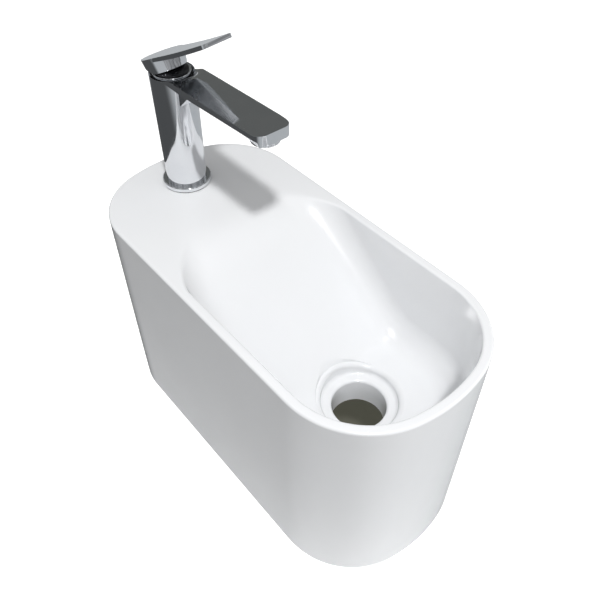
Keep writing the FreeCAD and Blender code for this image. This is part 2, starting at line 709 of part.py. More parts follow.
spout = body.newObject("PartDesign::AdditiveLoft", "spout")
spout.Profile = section("spout_start", 0, "spout_half", "spout_low", "spout_side_start",
                        "spout_top_start", "crease_start", "belly_start", "belly_half")
spout.Sections = [
    section("spout_root", "spout_root_x", "spout_half", "spout_low", "spout_side_root",
            "spout_top_root", "crease_root", "belly_root", "belly_half"),
    section("spout_end", "spout_end_x", "spout_half", "spout_low_end", "spout_side_end",
            "spout_top_end", "crease_end", "belly_end", "belly_half_end"),
    section("spout_tip", "spout_tip_x", "tip_half", "spout_low_tip", "spout_side_tip",
            "spout_top_tip", "crease_tip", "belly_tip", "belly_half_tip"),
]
spout.Ruled = True


for name, hand in (("tip_right", "-1 * "), ("tip_left", "")):
    cut_down(body, name, polygon(body, name + "_plan", "XY_Plane", [
        ("spout_tip_x + wall", f"{hand}(tip_half - tip_corner)"),
        ("spout_tip_x", f"{hand}(tip_half - tip_corner)"),
        ("spout_tip_x - tip_corner", f"{hand}tip_corner_half",
         ("spout_tip_x - tip_corner * (1 - sin(45))", f"{hand}(tip_half - tip_corner * (1 - cos(45)))")),
        ("spout_tip_x - tip_corner", f"{hand}(tip_half + wall)"),
        ("spout_tip_x + wall", f"{hand}(tip_half + wall)"),
    ], "spout_top_end + wall"), "spout_top_end + wall - belly_start")
jet_boss = circles(body, "jet_boss_plan", "XY_Plane", [("jet_x", 0, "jet_boss_r")], "jet_boss_low")
padded(body, "jet_boss", jet_boss, "jet_boss_top - jet_boss_low")
gusset = polygon(body, "gusset_side", "XZ_Plane", [
    (0, "gusset_low"),
    ("column_low_r", "gusset_low"),
    ("gusset_reach", "belly_start"),
    ("gusset_reach", "spout_low"),
    (0, "spout_low"),
])
both_ways(padded(body, "gusset", gusset, "2 * gusset_half"))
turned_away(body, "dish", [
    (0, "ledge_top"),
    ("neck_r", "ledge_top"),
    ("column_top_r", "rim_top"),
    ("dish_r", "dish_top", ("dish_mid_r", "dish_mid_top")),
    ("dish_r", "dish_top + wall"),
    (0, "dish_top + wall"),
])
turned_away(body, "cartridge_bore", [
    (0, "seat_top"),
    ("cartridge_bore_r", "seat_top"),
    ("cartridge_bore_r", "nut_bottom"),
    ("nut_thread_r", "nut_bottom"),
    ("nut_thread_r", "dish_top"),
    (0, "dish_top"),
])
cut_down(body, "inlets", circles(body, "inlet_plan", "XY_Plane", [
    ("port_x", "port_y", "port_r"), ("port_x", "-1 * port_y", "port_r")], "seat_top"),
    "seat_top - body_bottom")
cut_down(body, "hose_threads", circles(body, "hose_plan", "XY_Plane", [
    ("hose_x", "hose_y", "hose_r"), ("hose_x", "-1 * hose_y", "hose_r")], "hose_top"),
    "hose_top - body_bottom")
cut_down(body, "stud_thread", circles(body, "stud_plan", "XY_Plane", [
    ("stud_x", 0, "stud_r + fit_gap")], "stud_hole_top"), "stud_hole_top - body_bottom")
cut_down(body, "jet_bore", circles(body, "jet_plan", "XY_Plane", [
    ("jet_x", 0, "jet_bore_r")], "jet_seat"), "jet_seat - belly_start")
cut_down(body, "jet_chamber", circles(body, "chamber_plan", "XY_Plane", [
    ("jet_x", 0, "jet_chamber_r")], "jet_chamber_top"), "jet_chamber_top - belly_start")


def water_way(name, radius, x0, z0, x1, z1):
    """A straight water way drilled from one point to another in the mixer's middle plane."""
    before = body.Tip
    rod = body.newObject("PartDesign::SubtractiveCylinder", name)
    CUTS.append((before, rod))
    run = size(f"{x1} - {x0}")
    rise = size(f"{z1} - {z0}")
    bind(rod, Radius=radius, Height=f"sqrt(({x1} - {x0}) ^ 2 + ({z1} - {z0}) ^ 2)")
    rod.Placement = FreeCAD.Placement(
        V(size(x0), 0, size(z0)), FreeCAD.Rotation(V(0, 0, 1), V(run, 0, rise)))


water_way("spout_way", "spout_way_r", "spout_way_x", "spout_way_top",
          "spout_way_end_x", "spout_way_end_top")
water_way("riser", "riser_r", "riser_x", "riser_low",
          "spout_way_x + riser_r / 2", "spout_way_top + riser_r / 2")

# Foot of the mixer
ring("base_seal", "foot_hole_r", "seal_r", 0, "seal_thickness")
foot = new_body("base_ring")
turned(foot, "foot_turn", [
    ("foot_hole_r", "seal_thickness"),
    ("foot_r", "seal_thickness"),
    ("foot_r", "foot_top - foot_edge"),
    ("foot_r - foot_edge", "foot_top"),
    ("column_low_r + slide_gap", "foot_top"),
    ("column_low_r + slide_gap", "body_bottom"),
    ("foot_hole_r", "body_bottom"),
])

# Cartridge, from the seat upwards
lower = new_body("cartridge_base")
turned(lower, "base_turn", rectangle(0, "base_r", "seat_top", "base_top"))
cut_down(lower, "base_ports", circles(lower, "base_port_plan", "XY_Plane", [
    ("port_x", "port_y", "port_r"), ("port_x", "-1 * port_y", "port_r")], "base_top"),
    "base_top - seat_top")
cut_down(lower, "seal_seats", circles(lower, "seal_seat_plan", "XY_Plane", [
    ("port_x", "port_y", "port_seat_r"), ("port_x", "-1 * port_y", "port_seat_r")],
    "seat_top + 2 * port_seal_small_r"), "2 * port_seal_small_r")
cut_down(lower, "outlet", circles(lower, "outlet_plan", "XY_Plane", [
    ("outlet_x", 0, "outlet_r")], "base_top"), "base_top - outlet_low")
cut_down(lower, "outlet_side", polygon(lower, "outlet_side_plan", "XY_Plane", rectangle(
    "-1 * cartridge_bore_r", "outlet_x", "-1 * outlet_half", "outlet_half"), "outlet_high"),
    "outlet_high - outlet_low")

seals = []
for name, sign in (("hot_seal", "1"), ("cold_seal", "-1")):
    seal = doc.addObject("Part::Torus", name)
    bind(seal, Radius1="port_seal_big_r", Radius2="port_seal_small_r")
    seal.setExpression("Placement.Base.x", bound("tap_x + port_x"))
    seal.setExpression("Placement.Base.y", bound(f"{sign} * port_y"))
    seal.setExpression("Placement.Base.z", bound("basin_height + seat_top + port_seal_small_r"))
    seals.append(seal)
port_seals = doc.addObject("Part::Compound", "port_seals")
port_seals.Links = seals

fixed = new_body("fixed_disc")
turned(fixed, "fixed_turn", rectangle(0, "fixed_disc_r", "base_top", "fixed_disc_top"))
cut_down(fixed, "fixed_ports", circles(fixed, "fixed_plan", "XY_Plane", [
    ("port_x", "port_y", "port_r"), ("port_x", "-1 * port_y", "port_r"),
    ("outlet_x", 0, "outlet_r")], "fixed_disc_top"), "fixed_disc_top - base_top")

moving = new_body("moving_disc", "disc")
turned(moving, "moving_turn", [
    (0, "mixing_top"),
    ("mixing_r", "mixing_top"),
    ("mixing_r", "fixed_disc_top"),
    ("moving_disc_r", "fixed_disc_top"),
    ("moving_disc_r", "moving_disc_top"),
    (0, "moving_disc_top"),
])

carrier = new_body("disc_carrier", "disc")
turned(carrier, "carrier_turn", [
    (0, "moving_disc_top"),
    ("carrier_r", "moving_disc_top"),
    ("carrier_r", "carrier_top"),
    ("socket_r", "carrier_top"),
    ("socket_r", "socket_low"),
    (0, "socket_low"),
])
for name, near, outer in (("left_flat", "carrier_half", "carrier_r + wall"),
                          ("right_flat", "-1 * carrier_r - wall", "-1 * carrier_half")):
    flat = polygon(carrier, name + "_plan", "XY_Plane", rectangle(
        "-1 * carrier_r - wall", "carrier_r + wall", near, outer), "carrier_top")
    cut_down(carrier, name, flat, "carrier_top - moving_disc_top")

housing = new_body("cartridge_housing")
turned(housing, "housing_turn", [
    ("housing_bore_r", "base_top"),
    ("housing_r", "base_top"),
    ("housing_r", "shoulder_low"),
    ("shoulder_r", "shoulder_low"),
    ("shoulder_r", "groove_low"),
    ("groove_r", "groove_low"),
    ("groove_r", "groove_high"),
    ("shoulder_r", "groove_high"),
    ("shoulder_r", "nut_bottom"),
    ("housing_lip_r", "nut_bottom"),
    ("housing_lip_r", "housing_lip_low"),
    ("housing_bore_r", "housing_lip_low"),
])
housing_seal = doc.addObject("Part::Torus", "housing_seal")
bind(housing_seal, Radius1="housing_seal_big_r", Radius2="housing_seal_small_r")
housing_seal.setExpression("Placement.Base.x", bound("tap_x"))
housing_seal.setExpression(
    "Placement.Base.z", bound("basin_height + (groove_low + groove_high) / 2"))

guide = new_body("stem_guide", "swivel")
turned(guide, "guide_turn", [
    (0, "guide_leg_low"),
    ("guide_r", "guide_leg_low"),
    ("guide_r", "guide_shoulder"),
    ("guide_neck_r", "guide_shoulder"),
    ("guide_neck_r", "guide_top"),
    (0, "guide_top"),
])
cut_down(guide, "carrier_way", polygon(guide, "carrier_way_plan", "XY_Plane", rectangle(
    "-1 * housing_r", "housing_r", "-1 * carrier_half - slide_gap", "carrier_half + slide_gap"),
    "guide_low"), "guide_low - guide_leg_low")
cut_down(guide, "arm_way", polygon(guide, "arm_way_plan", "XY_Plane", rectangle(
    "-1 * guide_slot_x", "guide_slot_front", "-1 * guide_slot_half", "guide_slot_half"),
    "guide_top"), "guide_top - guide_low")
cut_down(guide, "stem_way", polygon(guide, "stem_way_plan", "XY_Plane", rectangle(
    "-1 * housing_r", 0, "-1 * guide_slot_half", "guide_slot_half"),
    "guide_top"), "guide_top - guide_shoulder")
both_ways(cut_down(guide, "guide_pin_hole", circles(guide, "guide_pin_side", "XZ_Plane", [
    (0, "pivot_top", "pin_r + pin_play / 2")]), "2 * housing_r"))

pin = new_body("pivot_pin", "swivel")
both_ways(padded(pin, "pin_pad", circles(pin, "pin_side", "XZ_Plane", [
    (0, "pivot_top", "pin_r")]), "2 * pin_half"))

stem = new_body("lever_stem", "lever")
square = polygon(stem, "stem_plan", "XY_Plane", rectangle(
    "-1 * stem_half", "stem_half", "-1 * stem_half", "stem_half"))
padded(stem, "stem_square", square, "stem_top")
both_ways(padded(stem, "stem_eye", circles(stem, "stem_eye_side", "XZ_Plane", [
    (0, 0, "stem_eye_r")]), "2 * stem_eye_half"))
arm_turn = FreeCAD.Rotation(V(0, 1, 0), 180 + size("arm_lean"))
arm = stem.newObject("PartDesign::AdditiveCylinder", "stem_arm")
bind(arm, Radius="arm_r", Height="arm_reach")
arm.Placement = FreeCAD.Placement(V(0, 0, 0), arm_turn)
ball = stem.newObject("PartDesign::AdditiveSphere", "stem_ball")
bind(ball, Radius="ball_r")
ball.Placement = FreeCAD.Placement(arm_turn.multVec(V(0, 0, size("arm_reach"))), arm_turn)
both_ways(cut_down(stem, "stem_pin_hole", circles(stem, "stem_pin_side", "XZ_Plane", [
    (0, 0, "pin_r + pin_play")]), "2 * housing_r"))

nut = new_body("cartridge_nut")
turned(nut, "nut_turn", [
    ("nut_hole_r", "nut_bottom"),
    ("nut_thread_r - fit_gap", "nut_bottom"),
    ("nut_thread_r - fit_gap", "ledge_top"),
    ("nut_collar_r", "ledge_top"),
    ("nut_collar_r", "nut_top"),
    ("nut_hole_r", "nut_top"),
])
ring("neck_ring", "neck_hole_r", "neck_r", "ledge_top", "neck_top")
trim = new_body("trim_ring")
turned(trim, "trim_turn", [
    ("trim_hole_r", "neck_top"),
    ("trim_r", "neck_top"),
    ("trim_r", "trim_top - trim_edge"),
    ("trim_r - trim_edge", "trim_top"),
    ("trim_hole_r", "trim_top"),
])

cover = new_body("swivel_cover", "swivel")
turned(cover, "cover_turn", [
    ("guide_neck_r + fit_gap", "cover_collar_low"),
    ("cover_collar_r", "cover_collar_low"),
    ("cover_collar_r", "cover_low"),
    ("cover_r", "cover_low"),
    ("cover_r", "cover_side_top"),
    ("cover_hole_r", "cover_top", ("cover_mid_r", "cover_mid_top")),
    ("cover_hole_r", "cover_inside"),
    ("guide_neck_r + fit_gap", "cover_inside"),
])
cut_down(cover, "cover_slot", polygon(cover, "cover_slot_plan", "XY_Plane", rectangle(
    "-1 * cover_r - wall", 0, "-1 * cover_slot_half", "cover_slot_half"), "cover_top"),
    "cover_top - cover_collar_low")

# Lever: hub and blade, hollow under the hub, with a relief behind
lever = new_body("lever", "lever")
turned(lever, "hub", [
    (0, "hub_low"),
    ("hub_low_r", "hub_low"),
    ("hub_top_r", "hub_top"),
    (0, "hub_top"),
])
padded(lever, "blade", polygon(lever, "blade_plan", "XY_Plane", [
    (0, "-1 * blade_root_half"),
    ("blade_reach", "-1 * blade_tip_half"),
    ("blade_reach", "blade_tip_half"),
    (0, "blade_root_half"),
], "blade_low"), "hub_top + blade_rise - blade_low")


def blade_tip(edge):
    """The upright edges at the blade's tip."""
    box = edge.BoundBox
    upright = box.ZLength > size("fit_gap") and box.YLength < size("fit_gap")
    return upright and box.XMin > size("blade_reach - fit_gap")


rounded(lever, "blade_corners", "blade_corner", blade_tip)
# The blade curves up: one cut shapes its top, and one its underside outside the hub
both_ways(cut_down(lever, "blade_top", polygon(lever, "blade_top_side", "XZ_Plane", [
    (0, "hub_top"),
    ("blade_reach", "hub_top + blade_rise", ("blade_reach / 2", "hub_top + blade_rise / 4")),
    ("blade_reach", "hub_top + 2 * blade_rise"),
    (0, "hub_top + 2 * blade_rise"),
]), "4 * hub_top_r"))
both_ways(cut_down(lever, "blade_underside", polygon(lever, "underside_side", "XZ_Plane", [
    ("hub_top_r", 0),
    ("hub_top_r", "blade_low"),
    ("blade_reach + wall", "hub_top + blade_rise - blade_tip_thickness",
     ("(hub_top_r + blade_reach) / 2", "blade_low + blade_rise / 4")),
    ("blade_reach + wall", 0),
]), "4 * hub_top_r"))
turned_away(lever, "hub_hollow", [
    (0, 0),
    ("hub_cavity_r", 0),
    ("hub_cavity_r", "hub_roof"),
    ("lever_boss_r", "hub_roof"),
    ("lever_boss_r", "lever_boss_low"),
    (0, "lever_boss_low"),
])
padded(lever, "screw_rib", polygon(lever, "screw_rib_plan", "XY_Plane", rectangle(
    "lever_boss_r / 2", "hub_cavity_r + air_gap", "-1 * rib_half", "rib_half"), "rib_low"),
    "hub_roof - rib_low + air_gap")
cut_down(lever, "stem_socket", polygon(lever, "socket_plan", "XY_Plane", rectangle(
    "-1 * stem_half - fit_gap", "stem_half + fit_gap",
    "-1 * stem_half - fit_gap", "stem_half + fit_gap"), "stem_top + fit_gap"),
    "stem_top - hub_low")
relief = polygon(lever, "relief_side", "XZ_Plane", [
    ("relief_front", 0),
    ("relief_front", "hub_low"),
    ("relief_front - 2 * hub_top_r", "hub_low + 2 * hub_top_r * tan(lift_open)"),
    ("relief_front - 2 * hub_top_r", 0),
])
both_ways(cut_down(lever, "rear_relief", relief, "4 * hub_top_r"))
cut_down(lever, "screw_hole", circles(lever, "screw_side", "YZ_Plane", [
    (0, "screw_rise", "screw_r")], "hub_top_r + wall"), "hub_top_r + wall - stem_half")

screw = new_body("grub_screw", "lever")
padded(screw, "screw_rod", circles(screw, "screw_plan", "YZ_Plane", [
    (0, "screw_rise", "screw_r")], "stem_half"), "screw_end - stem_half")
hexagon = [(f"screw_key_r * cos({60 * k})", f"screw_rise + screw_key_r * sin({60 * k})")
           for k in range(6)]
cut_down(screw, "key_socket", polygon(screw, "key_side", "YZ_Plane", hexagon, "screw_end"),
         "screw_end - screw_key_end")
plug = new_body("screw_plug", "lever")
padded(plug, "plug_rod", circles(plug, "plug_side", "YZ_Plane", [
    (0, "screw_rise", "screw_r")], "plug_start"), "plug_end - plug_start")

# Aerator under the spout's tip
jet = new_body("aerator_housing", "jet")
turned(jet, "jet_turn", [
    ("jet_housing_r", "jet_flange_low"),
    ("jet_flange_r", "jet_flange_low"),
    ("jet_flange_r", "jet_boss_low"),
    ("jet_thread_r", "jet_boss_low"),
    ("jet_thread_r", "jet_housing_top"),
    ("jet_housing_r", "jet_housing_top"),
])
insert = new_body("aerator_insert", "jet")
turned(insert, "insert_turn", rectangle(0, "jet_insert_r", "jet_insert_low", "jet_housing_top"))
spots = []
for step in range(3):
    reach = f"(jet_ring_r + {step} * jet_ring_step)"
    holes = 6 * (step + 1)
    for k in range(holes):
        turn = 360 * k / holes
        spots.append((f"{reach} * cos({turn})", f"{reach} * sin({turn})", "jet_hole_r"))
cut_down(insert, "insert_holes", circles(insert, "insert_plan", "XY_Plane", spots,
         "jet_housing_top"), "jet_housing_top - jet_insert_low")
ring("aerator_washer", "jet_washer_hole_r", "jet_thread_r", "jet_housing_top", "jet_seat", "jet")

# Fixing kit under the deck
stud = new_body("fixing_stud")
padded(stud, "stud_rod", circles(stud, "stud_rod_plan", "XY_Plane", [
    ("stud_x", 0, "stud_r")], "stud_low"), "stud_top - stud_low")


def horseshoe(label, radius, top, thickness):
    """A plate with a hole for the stud and an opening for the hoses."""
    plate = new_body(label)
    padded(plate, label + "_pad", circles(plate, label + "_plan", "XY_Plane", [
        (0, 0, radius)], f"{top} - {thickness}"), thickness)
    cut_down(plate, label + "_hole", circles(plate, label + "_hole_plan", "XY_Plane", [
        ("stud_x", 0, "stud_r + fit_gap")], top), thickness)
    cut_down(plate, label + "_gap", polygon(plate, label + "_gap_plan", "XY_Plane", rectangle(
        "horseshoe_gap_x", "2 * gasket_r", "-1 * horseshoe_gap_half", "horseshoe_gap_half"),
        top), thickness)


horseshoe("fixing_gasket", "gasket_r", "-1 * deck_thickness", "gasket_thickness")
horseshoe("fixing_washer", "washer_r", "-1 * deck_thickness - gasket_thickness",
          "washer_thickness")
clamp = new_body("fixing_nut")
nut_face = "-1 * deck_thickness - gasket_thickness - washer_thickness"
hexagon = [(f"stud_x + nut_flats / 2 / cos(30) * cos({60 * k})",
            f"nut_flats / 2 / cos(30) * sin({60 * k})") for k in range(6)]
padded(clamp, "nut_hexagon", polygon(clamp, "nut_plan", "XY_Plane", hexagon,
       f"{nut_face} - nut_length"), "nut_length")
cut_down(clamp, "nut_thread", circles(clamp, "nut_thread_plan", "XY_Plane", [
    ("stud_x", 0, "stud_r + fit_gap")], nut_face), "nut_length")

doc.recompute()

NODES = [
    "basin_body", "tap_body", "base_ring", "base_seal", "neck_ring", "trim_ring",
    "swivel_cover", "lever", "grub_screw", "screw_plug", "aerator_housing", "aerator_insert",
    "aerator_washer", "cartridge_housing", "cartridge_base", "port_seals", "fixed_disc",
    "moving_disc", "disc_carrier", "stem_guide", "lever_stem", "pivot_pin", "cartridge_nut",
    "housing_seal", "fixing_stud", "fixing_gasket", "fixing_washer", "fixing_nut",
]
for thing in doc.Objects:
    if "Invalid" in thing.State or "Error" in thing.State:
        raise ValueError(f"{thing.Name} failed: {thing.State}")
for before, after in CUTS:
    if after.Shape.Volume >= before.Shape.Volume:
        raise ValueError(after.Name + " cuts nothing")
for name in NODES:
    shape = doc.getObject(name).Shape
    if shape.isNull() or not shape.isValid():
        raise ValueError(name + " has no valid shape")
for name in NODES:
    shape = doc.getObject(name).Shape
    box = shape.BoundBox
    shape.exportStep(f"parts/{name}.step")
    print(f"{name}: {len(shape.Solids)} solid(s), {shape.Volume:.0f} mm3,"
          f" z {box.ZMin:.1f} to {box.ZMax:.1f}")
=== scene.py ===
"""Hand basin with a single-lever mixer: finishes, detailed pieces and studio."""
import json
import logging
import math
from contextlib import contextmanager
from dataclasses import dataclass, field
from enum import Enum
from typing import Callable, Iterator, Sequence

import bmesh
import bpy
from mathutils import Matrix, Vector


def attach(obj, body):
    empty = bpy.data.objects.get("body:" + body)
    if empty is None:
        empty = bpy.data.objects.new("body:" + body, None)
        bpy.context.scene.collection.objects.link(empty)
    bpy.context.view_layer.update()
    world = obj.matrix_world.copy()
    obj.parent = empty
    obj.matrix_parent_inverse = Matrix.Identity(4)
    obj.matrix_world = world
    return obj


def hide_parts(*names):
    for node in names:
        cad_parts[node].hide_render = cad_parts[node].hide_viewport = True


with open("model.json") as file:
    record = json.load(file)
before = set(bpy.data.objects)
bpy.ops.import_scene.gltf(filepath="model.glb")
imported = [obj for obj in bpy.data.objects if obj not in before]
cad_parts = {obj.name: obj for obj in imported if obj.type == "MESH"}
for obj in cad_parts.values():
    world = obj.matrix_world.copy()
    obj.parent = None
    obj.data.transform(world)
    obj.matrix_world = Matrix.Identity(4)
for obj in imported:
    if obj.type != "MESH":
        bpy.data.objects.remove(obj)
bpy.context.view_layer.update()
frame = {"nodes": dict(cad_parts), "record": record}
LOG = logging.getLogger("hand_basin")
MM = 0.001
NUMBER = "NodeSocketFloat"
Piece = bpy.types.Object
Socket = bpy.types.NodeSocket
Pair = tuple[float, float]
Point = tuple[float, float, float]
Colour = tuple[float, float, float]
Opaque = tuple[float, float, float, float]
TINY = 1e-4


class Combine(Enum):
    """Ways to combine two solids."""

    JOIN = "UNION"
    CUT = "DIFFERENCE"
    TRIM = "INTERSECT"


@contextmanager
def editing() -> Iterator[None]:
    """Edit the active piece with all of it selected, and leave edit mode afterwards.

    Returns:
        The context.
    """
    bpy.ops.object.mode_set(mode="EDIT")
    bpy.ops.mesh.select_all(action="SELECT")
    yield
    bpy.ops.object.mode_set(mode="OBJECT")


def quarter(count: int) -> list[Pair]:
    """Sine and cosine at even steps through a quarter turn.

    Args:
        count: number of steps.

    Returns:
        A pair for each end of a step, the first and the last one too.
    """
    turns = [math.pi / 2 * k / count for k in range(count + 1)]
    return [(math.sin(turn), math.cos(turn)) for turn in turns]


@dataclass
class Bench:
    """A node tree being wired."""

    tree: bpy.types.NodeTree

    def feed(self, node: bpy.types.Node, inputs: dict[str | int, object]) -> None:
        """Set a node's inputs to values, or link them to outputs.

        Args:
            node: the node.
            inputs: a value or an output for each input, by name or number.
        """
        for name, value in inputs.items():
            if isinstance(value, Socket):
                self.tree.links.new(value, node.inputs[name])
            else:
                node.inputs[name].default_value = value

    def add(self, kind: str, inputs: dict[str | int, object] | None = None,
            **settings: object) -> bpy.types.Node:
        """Add a node.

        Args:
            kind: Blender's name of the node type.
            inputs: a value or an output for each input, by name or number.
            settings: properties to set on the node.

        Returns:
            The new node.
        """
        node = self.tree.nodes.new(kind)
        for name, value in settings.items():
            setattr(node, name, value)
        self.feed(node, inputs or {})
        return node

    def use(self, group: bpy.types.NodeTree, inputs: dict[str, float]) -> Socket:
        """Add a shared effect.

        Args:
            group: the effect.
            inputs: a value for each input by name, its usual one where it isn't given.

        Returns:
            The effect's output.
        """
        return self.add("ShaderNodeGroup", inputs, node_tree=group).outputs["Value"]

    def coordinates(self) -> Socket:
        """Object coordinates, which keep a pattern in place on its piece.

        Returns:
            The coordinates.
        """
        return self.add("ShaderNodeTexCoord").outputs["Object"]


def blank(name: str) -> tuple[bpy.types.Material, Bench]:
    """A new material.

    Args:
        name: its name.

    Returns:
        The material and its node tree, ready to be wired.
    """
    material = bpy.data.materials.new(name)
    material.use_nodes = True
    return material, Bench(material.node_tree)


@dataclass
class SharedEffects:
    """Effects that several finishes use, each built once as a node group."""

    made: dict[str, bpy.types.NodeTree] = field(default_factory=dict)
    noise_low: float = 0.3
    noise_high: float = 0.7
    patch_detail: float = 4.0
    patch_roughness: float = 0.55

    def group(self, name: str, inputs: Sequence[tuple[str, float]],
              build: Callable[[Bench, bpy.types.bpy_prop_collection], Socket],
              ) -> bpy.types.NodeTree:
        """Make a group with number inputs and one number output, or find it.

        Args:
            name: the group's name.
            inputs: input names with their usual values.
            build: wires the inside from the tree and the group's inputs, and returns the
                socket to put out.

        Returns:
            The node group.
        """
        if name in self.made:
            return self.made[name]
        tree = bpy.data.node_groups.new(name, "ShaderNodeTree")
        for label, usual in inputs:
            socket = tree.interface.new_socket(label, in_out="INPUT", socket_type=NUMBER)
            socket.default_value = usual
        tree.interface.new_socket("Value", in_out="OUTPUT", socket_type=NUMBER)
        bench = Bench(tree)
        bench.add("NodeGroupOutput", {"Value": build(bench, bench.add("NodeGroupInput").outputs)})
        self.made[name] = tree
        return tree

    def patches(self) -> bpy.types.NodeTree:
        """Soft patches between a low and a high value, as of wiped and handled surfaces.

        Returns:
            The node group.
        """
        def build(bench: Bench, given: bpy.types.bpy_prop_collection) -> Socket:
            """One noise and a range.

            Args:
                bench: the group's tree.
                given: the group's inputs.

            Returns:
                The socket to put out.
            """
            noise = bench.add("ShaderNodeTexNoise", {
                "Vector": bench.coordinates(), "Scale": given["Scale"],
                "Detail": self.patch_detail, "Roughness": self.patch_roughness})
            span = bench.add("ShaderNodeMapRange", {
                "Value": noise.outputs["Fac"], "From Min": self.noise_low,
                "From Max": self.noise_high, "To Min": given["Low"], "To Max": given["High"]})
            return span.outputs["Result"]
        return self.group("patches", (("Scale", 20.0), ("Low", 0.0), ("High", 1.0)), build)

    def ripple(self) -> bpy.types.NodeTree:
        """Height of a slow ripple with a finer one on it, as of glaze or polished castings.

        Returns:
            The node group.
        """
        def build(bench: Bench, given: bpy.types.bpy_prop_collection) -> Socket:
            """A slow noise and a fine noise, added.

            Args:
                bench: the group's tree.
                given: the group's inputs.

            Returns:
                The socket to put out.
            """
            where = bench.coordinates()
            slow = bench.add("ShaderNodeTexNoise", {
                "Vector": where, "Scale": given["Slow"], "Detail": 1.0})
            fine = bench.add("ShaderNodeTexNoise", {
                "Vector": where, "Scale": given["Fine"], "Detail": 2.0})
            total = bench.add("ShaderNodeMath", {
                0: fine.outputs["Fac"], 1: given["Fine Share"], 2: slow.outputs["Fac"]},
                operation="MULTIPLY_ADD")
            return total.outputs["Value"]
        return self.group("ripple", (("Slow", 20.0), ("Fine", 400.0), ("Fine Share", 0.02)),
                          build)


EFFECTS = SharedEffects()


@dataclass(frozen=True)
class Finish:
    """A plain finish: one colour with patches of a second, uneven gloss and a faint relief."""

    name: str
    colour: Colour
    second: Colour
    metallic: float
    gloss: Pair
    patch_scale: float = 25.0
    ripple_slow: float = 20.0
    ripple_fine: float = 400.0
    fine_share: float = 0.02
    relief: float = 0.02
    coat: float = 0.0
    coat_roughness: float = 0.03
    gloss_scale: float = 1.7

    def material(self) -> bpy.types.Material:
        """Build the material.

        Returns:
            The new material.
        """
        material, bench = blank(self.name)
        tint = bench.use(EFFECTS.patches(), {"Scale": self.patch_scale})
        mix = bench.add("ShaderNodeMix", {
            "A": (*self.colour, 1.0), "B": (*self.second, 1.0), "Factor": tint},
            data_type="RGBA")
        gloss = bench.use(EFFECTS.patches(), {
            "Scale": self.patch_scale * self.gloss_scale,
            "Low": self.gloss[0], "High": self.gloss[1]})
        relief = bench.use(EFFECTS.ripple(), {
            "Slow": self.ripple_slow, "Fine": self.ripple_fine, "Fine Share": self.fine_share})
        bump = bench.add("ShaderNodeBump", {
            "Strength": 1.0, "Distance": self.relief * MM, "Height": relief})
        bench.feed(material.node_tree.nodes["Principled BSDF"], {
            "Base Color": mix.outputs["Result"], "Metallic": self.metallic, "Roughness": gloss,
            "Coat Weight": self.coat, "Coat Roughness": self.coat_roughness,
            "Normal": bump.outputs["Normal"]})
        return material


DULL_CHROME = Finish("dull_chrome", (0.56, 0.57, 0.58), (0.48, 0.49, 0.5), 1.0, (0.2, 0.28),
                     patch_scale=60.0, ripple_slow=60.0, ripple_fine=900.0, relief=0.01)
BY_SLOT = {
    "glazed_ceramic": Finish(
        "white_glaze", (0.785, 0.795, 0.81), (0.8, 0.808, 0.82), 0.0, (0.16, 0.22),
        patch_scale=9.0, ripple_slow=14.0, ripple_fine=120.0, fine_share=0.01,
        relief=0.12, coat=0.7, coat_roughness=0.04),
    "chrome": Finish(
        "polished_chrome", (0.84, 0.85, 0.87), (0.8, 0.815, 0.84), 1.0, (0.045, 0.085),
        patch_scale=60.0, ripple_slow=60.0, ripple_fine=900.0, relief=0.004),
    "brass": Finish(
        "turned_brass", (0.72, 0.52, 0.24), (0.64, 0.45, 0.2), 1.0, (0.22, 0.34),
        patch_scale=120.0, ripple_slow=200.0, ripple_fine=2500.0, relief=0.01),
    "black_plastic": Finish(
        "black_gloss", (0.012, 0.012, 0.014), (0.018, 0.018, 0.02), 0.0, (0.12, 0.2),
        patch_scale=150.0, relief=0.004),
    "white_plastic": Finish(
        "moulded_acetal", (0.78, 0.78, 0.75), (0.74, 0.74, 0.71), 0.0, (0.38, 0.5),
        patch_scale=150.0, ripple_fine=3000.0, relief=0.006),
    "disc_ceramic": Finish(
        "lapped_ceramic", (0.82, 0.8, 0.75), (0.86, 0.84, 0.8), 0.0, (0.2, 0.3),
        patch_scale=300.0, relief=0.002),
    "rubber": Finish(
        "black_rubber", (0.02, 0.02, 0.02), (0.03, 0.03, 0.03), 0.0, (0.6, 0.75),
        patch_scale=200.0, ripple_fine=2500.0, fine_share=0.1, relief=0.02),
    "steel": Finish(
        "zinced_steel", (0.55, 0.56, 0.57), (0.47, 0.48, 0.5), 1.0, (0.28, 0.42),
        patch_scale=150.0, ripple_fine=2500.0, fine_share=0.1, relief=0.012),
}


@dataclass
class Wardrobe:
    """The finishes as materials, one for each of the record's slots."""

    materials: dict[str, bpy.types.Material] = field(default_factory=dict)

    def of(self, slot: str) -> bpy.types.Material:
        """The material of a slot.

        Args:
            slot: the record's name of the slot.

        Returns:
            The material.
        """
        if slot not in self.materials:
            self.materials[slot] = BY_SLOT[slot].material()
        return self.materials[slot]

    def dress(self, piece: Piece, slot: str) -> None:
        """Give a piece the one material of a slot.

        Args:
            piece: the piece.
            slot: the record's name of the slot.
        """
        piece.data.materials.clear()
        piece.data.materials.append(self.of(slot))

    def dress_frame(self) -> None:
        """Dress every node that comes from the solids."""
        for part in frame["record"]["subparts"]:
            self.dress(frame["nodes"][part["node"]], part["material_slot"])
            LOG.info("dressed %s as %s", part["node"], part["material_slot"])


